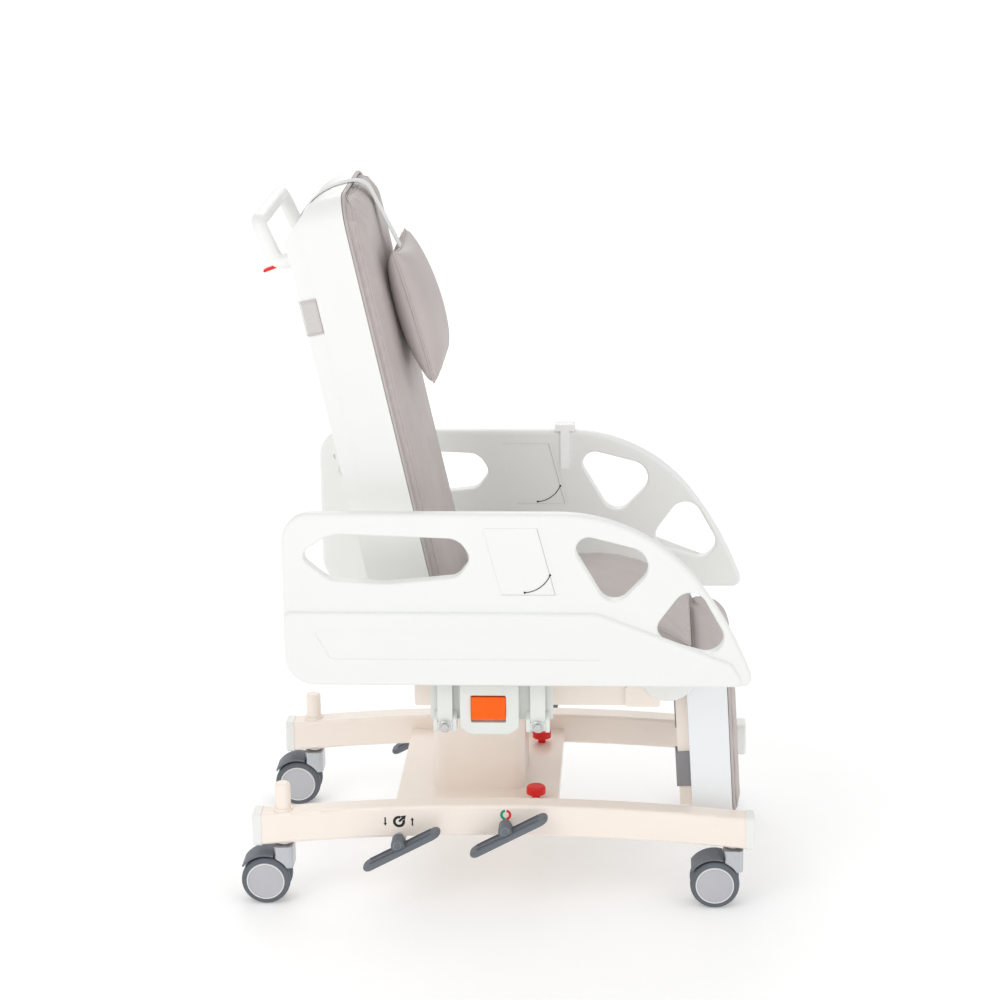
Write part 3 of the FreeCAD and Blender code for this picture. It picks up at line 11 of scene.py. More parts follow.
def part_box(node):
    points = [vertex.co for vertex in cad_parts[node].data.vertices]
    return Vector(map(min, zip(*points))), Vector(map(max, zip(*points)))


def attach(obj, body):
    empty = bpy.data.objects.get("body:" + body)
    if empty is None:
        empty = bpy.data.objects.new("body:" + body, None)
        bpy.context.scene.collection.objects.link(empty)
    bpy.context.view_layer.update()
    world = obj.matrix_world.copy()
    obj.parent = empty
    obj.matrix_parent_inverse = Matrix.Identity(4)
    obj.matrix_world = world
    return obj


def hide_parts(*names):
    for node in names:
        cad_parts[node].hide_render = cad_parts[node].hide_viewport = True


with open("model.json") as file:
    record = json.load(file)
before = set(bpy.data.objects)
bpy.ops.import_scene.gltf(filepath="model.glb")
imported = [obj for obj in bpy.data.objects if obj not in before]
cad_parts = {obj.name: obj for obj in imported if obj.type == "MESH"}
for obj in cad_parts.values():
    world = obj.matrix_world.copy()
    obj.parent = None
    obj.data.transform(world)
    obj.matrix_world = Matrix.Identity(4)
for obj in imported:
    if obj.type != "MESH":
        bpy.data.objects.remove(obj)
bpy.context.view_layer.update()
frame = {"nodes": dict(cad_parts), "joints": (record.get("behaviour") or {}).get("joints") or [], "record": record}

bl_info = {
    "name": "Transfer Chair Looks",
    "version": (1, 0, 0),
    "blender": (4, 5, 0),
    "location": "3D View > Sidebar > Chair",
    "description": "Upholstery, finishes and small fittings of a hospital transfer chair",
    "category": "Object",
}

JOINTS = {joint["name"]: joint for joint in frame["joints"]}
SLOT_OF = {part["node"]: part["material_slot"] for part in frame["record"]["subparts"]}
FINISH_OF = {**SLOT_OF, "hinge_ears": "frame_paint", "accessory_clip": "gloss_white"}
FINISHES = {}
VINYL = "taupe_vinyl"
SIDES = (("right", -1), ("left", 1))
CORNERS = [(end, side) for end in ("front", "rear") for side in ("right", "left")]
ACROSS = np.array([0.0, 1.0, 0.0])
OUTLINE_STEP = 0.008
SEAM_STEP = 0.006
SEAM_WIDTH = 0.007
CLOTH_FRAMES = 20
PAIRS_AT_ONCE = 2_000_000


def screen(red, green, blue):
    """A colour given as 0 to 255 screen values, as the linear values that shaders take."""
    values = np.array([red, green, blue]) / 255
    return tuple(np.where(values <= 0.04045, values / 12.92, ((values + 0.055) / 1.055) ** 2.4))


def length(label, text, default):
    return FloatProperty(name=label, description=text, default=default, subtype="DISTANCE", unit="LENGTH")


def angle(label, text, degrees):
    return FloatProperty(name=label, description=text, default=math.radians(degrees), subtype="ANGLE",
                         unit="ROTATION")


def colour(label, text, *rgb):
    return FloatVectorProperty(name=label, description=text, default=screen(*rgb), subtype="COLOR", size=3,
                               min=0.0, max=1.0)


class ChairSizes(bpy.types.PropertyGroup):
    """Sizes of the upholstery and of the small fittings."""

    back_tilt: angle("Back tilt", "How far the upright back leans to the rear", 12)
    leg_tilt: angle("Leg tilt", "How far the lowered leg rest leans forwards", 3)
    pillow_lean: angle("Pillow lean", "The pillow's own lean against the back", 4)
    voxel: length("Cloth mesh", "Spacing of the cloth mesh on the large cushions", 0.006)
    piping: length("Piping radius", "Radius of the welt sewn into the cushion edges", 0.0022)
    heel_piping: length("Heel piping", "Radius of the welt between a cushion and what it lies on", 0.0034)
    stitch_depth: length("Seam depth", "How far a plain seam draws the cover in", 0.0025)
    gather: length("Gather spacing", "Distance between the small gathers along a seam", 0.034)
    leg_pad: length("Leg cushion", "Thickness of the leg cushion", 0.017)
    leg_nose: length("Leg nose", "Height of the rounded nose that the leg cushion goes over", 0.054)
    back_corner: length("Back corner", "Corner radius at the top of the back", 0.070)
    seat_corner: length("Seat corner", "Corner radius of the seat cushion in plan", 0.028)
    seat_lip: length("Seat lip", "How far the seat cushion's front edge reaches out over the hinge", 0.008)
    lip_drop: length("Lip drop", "How far that front edge hangs down before the pan", 0.016)
    pillow_half: length("Pillow half width", "Half of the pillow's width", 0.132)
    pillow_tall: length("Pillow height", "Height of the pillow from seam to seam", 0.276)
    pillow_thick: length("Pillow thickness", "Thickness of the filled pillow", 0.096)
    pillow_draw: length("Pillow draw", "How far the pillow's sides pull in between its corners", 0.014)
    pillow_sink: length("Pillow sink", "How far the pillow presses into the back cushion", 0.007)
    strap_width: length("Strap width", "Width of the pillow strap", 0.040)
    web: length("Strap room", "Thickness of the space that the strap lies in", 0.0025)
    crest_drop: length("Crest drop", "How far the top of the back falls to its rear", 0.062)
    strap_thick: length("Strap thickness", "Thickness of the woven strap", 0.0016)
    bolt_radius: length("Bolt head", "Radius of the hinge bolt heads", 0.0095)
    cap_radius: length("Pedal cap", "Radius of the caps on the pedal shafts", 0.0075)
    # Radius of the pale ring painted on each caster hub as the highlight of its rim.
    rim_highlight_radius: length("Hub rim highlight", "Radius of the pale ring on a caster hub", 0.0372)


class ChairColours(bpy.types.PropertyGroup):
    """Colours of the finishes."""

    cream: colour("Cream paint", "Powder coat of the base", 249, 238, 228)
    # The white also colours the pale rings painted on the caster hubs as highlights of their rims.
    white: colour("White moulding", "Side boards, back shell and covers", 238, 239, 236)
    gloss: colour("Gloss white", "Clip on the left board", 253, 253, 252)
    pearl: colour("Cool white", "Leg rest panel", 237, 240, 242)
    taupe: colour("Taupe vinyl", "Upholstery", 189, 180, 177)
    slate: colour("Slate plastic", "Pedals and caster fenders", 104, 110, 118)
    tread: colour("Tread", "Caster tyres", 98, 103, 110)
    # The hub grey also colours the line painted round the board panels as the shade of their recessed edges.
    hub: colour("Hub", "Caster hub plates", 190, 190, 195)
    alloy: colour("Alloy", "Swivel brackets", 196, 199, 204)
    steel: colour("Steel", "Bolt heads, screws and shafts", 200, 200, 200)
    fitting: colour("Latch moulding", "Latch housings and board hinges", 226, 229, 224)
    orange: colour("Release orange", "Board release handles", 255, 98, 0)
    red: colour("Button red", "Release buttons and recline lever", 232, 46, 44)
    grey: colour("Mid grey", "Bushes", 140, 139, 142)
    band: colour("Band grey", "Band round the rear cover", 216, 211, 208)
    ink: colour("Ink", "Printed marks and gauges", 24, 26, 30)
    green: colour("Mark green", "Free side of the brake mark", 26, 152, 118)


def sizes():
    return bpy.context.scene.chair_sizes


# Node helpers for the finishes


def started(name):
    material = bpy.data.materials.new(name)
    material.use_nodes = True
    tree = material.node_tree
    return material, tree, tree.nodes["Principled BSDF"]


def set_inputs(node, values):
    for name, value in values.items():
        node.inputs[name].default_value = value


def added(tree, kind, **values):
    """A new node of this kind with these inputs set."""
    node = tree.nodes.new("ShaderNode" + kind)
    set_inputs(node, values)
    return node


def noise(tree, scale, detail=3.0, stretch=(1, 1, 1)):
    """Noise on the piece's own coordinates, in spots of about one over scale metres."""
    place = added(tree, "TexCoord")
    turn = added(tree, "Mapping", Scale=stretch)
    spots = added(tree, "TexNoise", Scale=scale, Detail=detail)
    tree.links.new(place.outputs["Object"], turn.inputs["Vector"])
    tree.links.new(turn.outputs["Vector"], spots.inputs["Vector"])
    return spots.outputs["Fac"]


def ranged(tree, value, low, high, start=0.3, end=0.7):
    """A value from start to end mapped on low to high."""
    fit = added(tree, "MapRange")
    set_inputs(fit, {"From Min": start, "From Max": end, "To Min": low, "To Max": high})
    tree.links.new(value, fit.inputs["Value"])
    return fit.outputs["Result"]


def combined(tree, first, second, operation):
    both = added(tree, "Math")
    both.operation = operation
    tree.links.new(first, both.inputs[0])
    if isinstance(second, (int, float)):
        both.inputs[1].default_value = second
    else:
        tree.links.new(second, both.inputs[1])
    return both.outputs["Value"]


def tinted(tree, shader, base, spread, factor):
    """The base colour drifting between a darker and a lighter tone."""
    mix = added(tree, "Mix")
    mix.data_type = "RGBA"
    darker, lighter = [c * (1 - spread) for c in base], [min(1.0, c * (1 + spread)) for c in base]
    set_inputs(mix, {"A": (*darker, 1), "B": (*lighter, 1)})
    tree.links.new(factor, mix.inputs["Factor"])
    tree.links.new(mix.outputs["Result"], shader.inputs["Base Color"])


def roughened(tree, shader, value, low, high):
    tree.links.new(ranged(tree, value, low, high), shader.inputs["Roughness"])


def bumped(tree, shader, height, distance, strength=1.0):
    bump = added(tree, "Bump", Strength=strength, Distance=distance)
    tree.links.new(height, bump.inputs["Height"])
    tree.links.new(bump.outputs["Normal"], shader.inputs["Normal"])


def moulded(name, base, roughness, grain, depth, spread, coat=0.0, shine=0.5):
    """Moulded plastic or paint: fine grain in the surface, slow drift in tone and gloss."""
    material, tree, shader = started(name)
    tinted(tree, shader, base, spread, ranged(tree, noise(tree, scale=9), 0, 1))
    gloss = noise(tree, scale=40, detail=4)
    roughened(tree, shader, gloss, low=roughness - 0.06, high=roughness + 0.08)
    bumped(tree, shader, noise(tree, grain, detail=2), depth)
    set_inputs(shader, {"Coat Weight": coat, "Specular IOR Level": shine})
    return material


def brushed(name, base, roughness, stretch):
    """Metal with fine brush lines along one direction."""
    material, tree, shader = started(name)
    lines = noise(tree, scale=260, detail=4, stretch=stretch)
    tinted(tree, shader, base, spread=0.08, factor=ranged(tree, lines, 0, 1))
    roughened(tree, shader, lines, low=roughness - 0.08, high=roughness + 0.1)
    bumped(tree, shader, lines, distance=0.00003)
    set_inputs(shader, {"Metallic": 1.0})
    return material


def vinyl(name, base):
    """Upholstery vinyl: pebbled grain of small cells, faint creases, and a soft sheen."""
    material, tree, shader = started(name)
    place = added(tree, "TexCoord")
    cells = added(tree, "TexVoronoi", Scale=620)
    cells.feature = "DISTANCE_TO_EDGE"
    tree.links.new(place.outputs["Object"], cells.inputs["Vector"])
    pebble = ranged(tree, cells.outputs["Distance"], 0, 1, start=0.0, end=0.25)
    crease = combined(tree, noise(tree, scale=55, detail=6, stretch=(1, 1, 0.5)), 2.2, "MULTIPLY")
    tinted(tree, shader, base, spread=0.05, factor=ranged(tree, noise(tree, scale=7, detail=4), 0, 1))
    roughened(tree, shader, noise(tree, scale=24, detail=5), low=0.46, high=0.62)
    bumped(tree, shader, combined(tree, pebble, crease, "ADD"), distance=0.00016, strength=0.8)
    set_inputs(shader, {"Sheen Weight": 0.12, "Sheen Roughness": 0.4})
    return material


def woven(name, base):
    """Webbing: two crossed rows of threads on the strap's own UV map, in metres."""
    material, tree, shader = started(name)
    place = added(tree, "TexCoord")
    rows = []
    for direction in ("X", "Y"):
        wave = added(tree, "TexWave", Scale=190, Distortion=0.4)
        wave.wave_type = "BANDS"
        wave.bands_direction = direction
        tree.links.new(place.outputs["UV"], wave.inputs["Vector"])
        rows.append(wave.outputs["Fac"])
    weave = combined(tree, rows[0], rows[1], "MULTIPLY")
    tinted(tree, shader, base, spread=0.14, factor=weave)
    bumped(tree, shader, weave, distance=0.0003)
    set_inputs(shader, {"Roughness": 0.85, "Sheen Weight": 0.3})
    return material


def tread(name, base):
    """Rubber tread, matt, with faint dust."""
    material, tree, shader = started(name)
    dust = noise(tree, scale=30, detail=6)
    tinted(tree, shader, base, spread=0.12, factor=ranged(tree, dust, 0, 1))
    roughened(tree, shader, dust, low=0.6, high=0.8)
    bumped(tree, shader, noise(tree, scale=700, detail=3), distance=0.0001)
    return material


def make_finishes():
    """One material for each finish, by its slot: what makes it, its colour and what else that takes.

    A moulded finish has roughness, grain, depth of grain and spread of tone, then coat and shine.
    """
    tone = bpy.context.scene.chair_colours
    rows = {
        "cream_paint": (moulded, tone.cream, 0.34, 900, 0.00008, 0.015, 0.25),
        "frame_paint": (moulded, tone.cream, 0.38, 900, 0.00008, 0.02, 0.2),
        "white_moulding": (moulded, tone.white, 0.40, 1400, 0.00006, 0.006),
        "gloss_white": (moulded, tone.gloss, 0.24, 1400, 0.00006, 0.006, 0.6),
        "pearl_moulding": (moulded, tone.pearl, 0.36, 1400, 0.00006, 0.008),
        VINYL: (vinyl, tone.taupe),
        "slate_plastic": (moulded, tone.slate, 0.5, 1100, 0.0001, 0.06),
        "grey_tread": (tread, tone.tread),
        "pale_hub": (moulded, tone.hub, 0.36, 1200, 0.00006, 0.03),
        "cast_alloy": (brushed, tone.alloy, 0.34, (1, 1, 6)),
        "bright_steel": (brushed, tone.steel, 0.25, (1, 12, 1)),
        "latch_moulding": (moulded, tone.fitting, 0.45, 1300, 0.00008, 0.03),
        "orange_plastic": (moulded, tone.orange, 0.34, 1000, 0.00004, 0.04, 0.0, 0.25),
        "red_plastic": (moulded, tone.red, 0.34, 1000, 0.00004, 0.05, 0.0, 0.3),
        "grey_plastic": (moulded, tone.grey, 0.45, 1200, 0.00007, 0.04),
        "grey_web": (woven, tone.band),
        "white_web": (woven, tone.white),
        "ink": (moulded, tone.ink, 0.5, 1500, 0.00002, 0.1),
        "mark_green": (moulded, tone.green, 0.5, 1500, 0.00002, 0.05),
        "mark_red": (moulded, tone.red, 0.5, 1500, 0.00002, 0.05),
    }
    return {name: make(name, *values) for name, (make, *values) in rows.items()}


# Surface helpers


def placed(name, data):
    """A new object of the scene with this data."""
    made = bpy.data.objects.new(name, data)
    bpy.context.scene.collection.objects.link(made)
    return made


def grid_faces(rows, columns, wrap_rows=False, wrap_columns=False):
    """Quads over a grid of points; a wrapped side joins its last line to its first."""
    index = np.arange(rows * columns).reshape(rows, columns)
    if wrap_rows:
        index = np.vstack([index, index[:1]])
    if wrap_columns:
        index = np.hstack([index, index[:, :1]])
    corners = [index[:-1, :-1], index[1:, :-1], index[1:, 1:], index[:-1, 1:]]
    return np.stack(corners, axis=-1).reshape(-1, 4)


def piece_from(name, grids, finish, body=None, sharp=40):
    """One object from several grids, each (points, wrap rows, wrap columns); its faces point outwards.

    A piece with a body rides on it, and every piece has its finish.
    """
    points, faces, start = [], [], 0
    for grid, wrap_rows, wrap_columns in grids:
        rows, columns = grid.shape[:2]
        points.append(grid.reshape(-1, 3))
        faces.append(grid_faces(rows, columns, wrap_rows, wrap_columns) + start)
        start += rows * columns
    mesh = bpy.data.meshes.new(name)
    mesh.from_pydata(np.vstack(points), [], np.vstack(faces).tolist())
    piece = placed(name, mesh)
    closed(mesh, sharp)
    mesh.materials.append(FINISHES[finish])
    if body:
        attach(piece, body)
    return piece


def closed(mesh, sharp):
    """Merges the points of seams and poles, turns the faces outwards and keeps only sharp edges sharp."""
    work = bmesh.new()
    work.from_mesh(mesh)
    bmesh.ops.remove_doubles(work, verts=work.verts, dist=1e-6)
    bmesh.ops.dissolve_degenerate(work, edges=work.edges, dist=1e-7)
    bmesh.ops.recalc_face_normals(work, faces=work.faces)
    work.to_mesh(mesh)
    work.free()
    shade_smooth(mesh)
    mesh.set_sharp_from_angle(angle=math.radians(sharp))
    mesh.update()


def shade_smooth(mesh):
    mesh.polygons.foreach_set("use_smooth", np.ones(len(mesh.polygons), bool))


def vectors(items, key):
    """The vectors that the items keep under this key, one in a row."""
    flat = np.empty(len(items) * 3)
    items.foreach_get(key, flat)
    return flat.reshape(-1, 3)


def coordinates(mesh):
    return vectors(mesh.vertices, "co")


def place_points(mesh, points):
    mesh.vertices.foreach_set("co", points.ravel())
    mesh.update()


def unit(rows):
    return rows / np.maximum(np.linalg.norm(rows, axis=-1, keepdims=True), 1e-12)


def full_turn(count):
    return np.linspace(0, 2 * np.pi, count, endpoint=False)


def spokes(turn):
    """Points on the unit circle at these angles."""
    return np.column_stack([np.cos(turn), np.sin(turn)])


def upright(flat, y):
    """Points (x, z) set upright at this y."""
    return np.insert(flat, 1, y, axis=1)


def distances(path):
    """How far along a path each of its points is."""
    return np.concatenate([[0], np.cumsum(np.linalg.norm(np.diff(path, axis=0), axis=1))])


def border_of(grid):
    """The values along a grid's border, once round."""
    return np.concatenate([grid[0, :-1], grid[:-1, -1], grid[-1, :0:-1], grid[:0:-1, 0]])


def tube(path, radius, closed_path=False, sides=12):
    """A circle of this radius carried along a path: P(i, a) = path(i) + radius (cos a side + sin a up).

    An open path gets a blunt cap at both ends.
    """
    path = np.asarray(path, float)
    if closed_path:
        along = unit(np.roll(path, -1, 0) - np.roll(path, 1, 0))
    else:
        along = unit(np.gradient(path, axis=0))
    reference = np.eye(3)[np.argmin(np.abs(along).mean(0))]
    side = unit(np.cross(along, reference))
    up = np.cross(side, along)
    turn = full_turn(sides)
    ring = np.cos(turn)[None, :, None] * side[:, None] + np.sin(turn)[None, :, None] * up[:, None]
    radii = np.full(len(path), radius)
    centres = path
    if not closed_path:
        rim, near, tip = 0.7, 0.5, 0.7
        radii = np.concatenate([[0, radius * rim], radii, [radius * rim, 0]])
        first, last = along[:1] * radius, along[-1:] * radius
        centres = np.vstack([path[:1] - first * tip, path[:1] - first * near, path,
                             path[-1:] + last * near, path[-1:] + last * tip])
        ring = np.concatenate([ring[:1], ring[:1], ring, ring[-1:], ring[-1:]])
    return centres[:, None] + radii[:, None, None] * ring, closed_path, True


def turned(centre, axis, profile, sides=32, lobes=None):
    """A profile of (radius, height) pairs turned about an axis; lobes gives a hexagon's radius by angle."""
    axis = np.asarray(axis, float)
    reference = np.eye(3)[np.argmin(np.abs(axis))]
    side = unit(np.cross(axis, reference))
    up = np.cross(axis, side)
    turn = full_turn(sides)
    profile = np.asarray(profile, float)
    swell = np.ones(sides) if lobes is None else lobes(turn)
    ring = (np.cos(turn) * swell)[:, None] * side + (np.sin(turn) * swell)[:, None] * up
    points = np.asarray(centre) + profile[:, :1, None] * ring[None] + (profile[:, 1:] * axis)[:, None]
    return points, False, True


def hexagon(turn):
    """A hexagon's radius by angle, as a share of its inner radius."""
    return 1 / np.cos((turn + np.pi / 6) % (np.pi / 3) - np.pi / 6)


def rounded_corners(corners, count=10):
    """A closed outline with a tangent arc of its own radius at each corner (a, b, radius)."""
    places = np.array([corner[:2] for corner in corners], float)
    share = np.linspace(0, 1, count)[:, None]
    arcs = []
    for k, (_, _, radius) in enumerate(corners):
        here = places[k]
        into = unit(places[k - 1] - here)
        out = unit(places[(k + 1) % len(places)] - here)
        half = math.acos(np.clip(into @ out, -1, 1)) / 2
        middle = here + unit(into + out) * radius / math.sin(half)
        first = here + into * radius / math.tan(half) - middle
        last = here + out * radius / math.tan(half) - middle
        sweep = math.pi - 2 * half
        spread = np.sin((1 - share) * sweep) * first + np.sin(share * sweep) * last
        arcs.append(middle + spread / math.sin(sweep))
    return np.vstack(arcs)


def spaced(path, step, closed_path=False):
    """Points at even distances along a path of lines."""
    path = np.asarray(path, float)
    if closed_path:
        path = np.vstack([path, path[:1]])
    run = distances(path)
    count = max(4, int(round(run[-1] / step)))
    at = np.linspace(0, run[-1], count, endpoint=not closed_path)
    return np.stack([np.interp(at, run, path[:, k]) for k in range(path.shape[1])], axis=1)


def smoothed(path, rounds, closed_path=True):
    """A path averaged with its neighbours a few times."""
    for _ in range(rounds):
        near = (np.roll(path, 1, 0) + np.roll(path, -1, 0)) / 2
        eased = 0.5 * path + 0.5 * near
        if not closed_path:
            eased[[0, -1]] = path[[0, -1]]
        path = eased
    return path


def arc_through(first, middle, last, count=24):
    """Points on the arc from first through middle to last."""
    first, middle, last = (np.asarray(point, float) for point in (first, middle, last))
    chords = 2 * np.array([middle - first, last - first])
    centre = np.linalg.solve(chords, [middle @ middle - first @ first, last @ last - first @ first])
    radius = np.linalg.norm(first - centre)
    start, through, end = (math.atan2(*(point - centre)[::-1]) for point in (first, middle, last))
    sweep = (end - start) % (2 * math.pi)
    if (through - start) % (2 * math.pi) > sweep:
        sweep -= 2 * math.pi
    return centre + radius * spokes(start + sweep * np.linspace(0, 1, count))


class LeaningFrame:
    """The frame of a leaning panel: out of its front, across, and up, from its hinge."""

    def __init__(self, origin, lean):
        self.origin = np.array(origin, float)
        self.out = np.array([math.cos(lean), 0, math.sin(lean)])
        self.up = np.array([-math.sin(lean), 0, math.cos(lean)])

    def at(self, out, across, up):
        out, across, up = np.broadcast_arrays(out, across, up)
        flat = self.origin + out[..., None] * self.out + up[..., None] * self.up
        return flat + across[..., None] * ACROSS

    def inside(self, points):
        """The same points as (out, across, up)."""
        local = points - self.origin
        return local @ self.out, local[..., 1], local @ self.up


def back_frame():
    return LeaningFrame(JOINTS["back_recline"]["pos_m"], sizes().back_tilt)


def node_points(node, leaning):
    """A CAD node's points in a leaning frame, as (out, across, up)."""
    return leaning.inside(coordinates(frame["nodes"][node].data))


# Stuffed pieces: a cover starts inside its solid by shrink, keeps slack for its filling, rises by crown
# in its middle, and is held where it lies within hold of its base or its seam


def pad_outline(low, high, low_radius, high_radius):
    """A pad's outline between two corners (a, b), with one corner radius at low b and one at high b."""
    corners = [(low[0], low[1], low_radius), (high[0], low[1], low_radius),
               (high[0], high[1], high_radius), (low[0], high[1], high_radius)]
    return spaced(rounded_corners(corners), OUTLINE_STEP, True)


def bag(outline, height, steps=10):
    """A flat bag: both faces are the outline shrunk to its middle, one flat and one raised to height(a, b).

    P(r, s) = middle + r (outline(s) - middle), with r from 0 to 1 on the flat face and back to 0 on the
    raised one.
    """
    middle = (outline.min(0) + outline.max(0)) / 2
    share = np.sqrt(np.linspace(0, 1, steps))
    spread = np.concatenate([share, share[::-1]])
    raised = np.concatenate([np.zeros(steps), np.ones(steps)])
    flat = middle + spread[:, None, None] * (outline - middle)
    return flat[..., 0], flat[..., 1], raised[:, None] * height(flat[..., 0], flat[..., 1])


def baked(piece):
    """Makes the piece's modifiers part of its mesh."""
    graph = bpy.context.evaluated_depsgraph_get()
    mesh = bpy.data.meshes.new_from_object(piece.evaluated_get(graph))
    piece.modifiers.clear()
    old = piece.data
    piece.data = mesh
    bpy.data.meshes.remove(old)


def stuffed(piece, voxel, cap, held, pressure=4.0):
    """Remeshes the piece evenly and blows it up as cloth for some frames; a point moves by cap at most.

    held(points) is true where the cover stays, such as the face that lies on its base.
    """
    even = piece.modifiers.new("even", "REMESH")
    even.mode = "VOXEL"
    even.voxel_size = voxel
    relax = piece.modifiers.new("relax", "SMOOTH")
    relax.factor = 0.5
    relax.iterations = 6
    baked(piece)
    mesh = piece.data
    shade_smooth(mesh)
    rest = coordinates(mesh)
    stay = piece.vertex_groups.new(name="stay")
    stay.add(np.flatnonzero(held(rest)).tolist(), 1.0, "REPLACE")
    cloth = piece.modifiers.new("filling", "CLOTH")
    cover = cloth.settings
    cover.quality = 4
    cover.mass = 0.3
    cover.tension_stiffness = 14
    cover.compression_stiffness = 14
    cover.shear_stiffness = 6
    cover.bending_stiffness = 0.4
    cover.use_pressure = True
    cover.uniform_pressure_force = pressure
    cover.effector_weights.gravity = 0
    cover.vertex_group_mass = stay.name
    cloth.point_cache.frame_start = 1
    cloth.point_cache.frame_end = CLOTH_FRAMES
    for number in range(1, CLOTH_FRAMES + 1):
        bpy.context.scene.frame_set(number)
    graph = bpy.context.evaluated_depsgraph_get()
    move = coordinates(piece.evaluated_get(graph).data) - rest
    far = np.linalg.norm(move, axis=1, keepdims=True)
    move *= np.minimum(1, cap / np.maximum(far, 1e-9))
    piece.modifiers.remove(cloth)
    piece.vertex_groups.clear()
    place_points(mesh, rest + move)
    bpy.context.scene.frame_set(1)


def nearest(points, others):
    """For each point, which of the others is nearest and how far off it is."""
    parts = np.array_split(points, max(1, len(points) * len(others) // PAIRS_AT_ONCE))
    which = np.concatenate([np.linalg.norm(part[:, None] - others, axis=2).argmin(1) for part in parts])
    return which, np.linalg.norm(points - others[which], axis=1)


def on_surface(mesh, path, rounds=4):
    """The closed path moved to the nearest points of a mesh, then eased."""
    points = coordinates(mesh)
    return smoothed(points[nearest(path, points)[0]], rounds)


def sewn(piece, path, depth, width):
    """Draws the cover in along a seam, with small gathers beside it.

    A point at distance d from the seam, and s along it, moves along its normal by
    depth (exp(-(d / width)^2) + sin(2 pi s / gather) / 3 exp(-(d / 4 width)^2)).
    """
    mesh = piece.data
    points = coordinates(mesh)
    which, away = nearest(points, path)
    run = distances(path)
    waves = max(1, round(run[-1] / sizes().gather))
    ripple = np.sin(2 * np.pi * waves * run[which] / run[-1])
    pull = depth * (np.exp(-(away / width) ** 2) + ripple / 3 * np.exp(-(away / (4 * width)) ** 2))
    place_points(mesh, points - vectors(mesh.vertex_normals, "vector") * pull[:, None])


def welt(name, path, radius, body):
    """Piping sewn along a closed path."""
    piece_from(name, [tube(path, radius, closed_path=True, sides=10)], VINYL, body, sharp=80)


def sewn_rim(name, piece, rim, body):
    """Sews a cover in along its rim and lays piping into the seam."""
    size = sizes()
    seam = on_surface(piece.data, spaced(rim, SEAM_STEP, True))
    sewn(piece, seam, size.stitch_depth, SEAM_WIDTH)
    welt(name, on_surface(piece.data, seam, rounds=3), size.piping, body)


def heel_welt(name, path, body):
    """Piping in the corner between a cushion and what it lies on."""
    welt(name, spaced(path, SEAM_STEP, True), sizes().heel_piping, body)


def finished(piece, body, node):
    """One subdivision, its cover, and the CAD solid that it stands for."""
    soft = piece.modifiers.new("soft", "SUBSURF")
    soft.levels = 1
    soft.render_levels = 1
    piece.data.materials.clear()
    piece.data.materials.append(FINISHES[VINYL])
    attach(piece, body)
    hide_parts(node)


class CHAIR_OT_finishes(bpy.types.Operator):
    """Give every piece of the chair its finish."""

    bl_idname = "chair.finishes"
    bl_label = "Finishes"

    def execute(self, context):
        FINISHES.update(make_finishes())
        for name, node in frame["nodes"].items():
            node.data.materials.clear()
            node.data.materials.append(FINISHES[FINISH_OF[name]])
        return {"FINISHED"}


class CHAIR_OT_seat_cushion(bpy.types.Operator):
    """Make the seat cushion: a boxed pad whose front falls away, with piping round its edge."""

    bl_idname = "chair.seat_cushion"
    bl_label = "Seat cushion"

    def execute(self, context):
        size = sizes()
        low, high = np.array(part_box("seat_cushion"))
        shrink, hold = 0.004, 0.004
        slack, crown, least = 0.012, 0.008, 0.010
        level_share, fall_share = 0.53, 0.85
        front, back = high[0] + size.seat_lip, low[0] + shrink
        half = high[1] - shrink
        pan_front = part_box("seat_pan")[1][0]
        tall = high[2] - low[2]
        fall_start = back + level_share * (front - back)
        outline = pad_outline((back, -half), (front, half), size.seat_corner, size.seat_corner)

        def height(x, y):
            """Full height to the start of the fall, then a parabola down to the front; a crown across."""
            down = np.clip((x - fall_start) / (front - fall_start), 0, 1) ** 2 * (fall_share * tall)
            return np.maximum(tall - slack - down + crown * (1 - (y / half) ** 2), least)

        def hung(x, z):
            """The front edge hangs by lip_drop t^2, with t from 0 at the pan's front to 1 at the edge."""
            past_pan = np.clip((x - pan_front) / (front - pan_front), 0, 1)
            return low[2] + z - size.lip_drop * past_pan ** 2

        x, y, z = bag(outline, height)
        piece = piece_from("seat_cover", [(np.stack([x, y, hung(x, z)], axis=-1), False, True)], VINYL)
        stuffed(piece, size.voxel, cap=0.008, held=lambda points: points[:, 2] < low[2] + hold)
        x, y = outline.T
        sewn_rim("seat_piping", piece, np.column_stack([outline, hung(x, height(x, y))]), "carriage")
        finished(piece, "carriage", "seat_cushion")
        return {"FINISHED"}


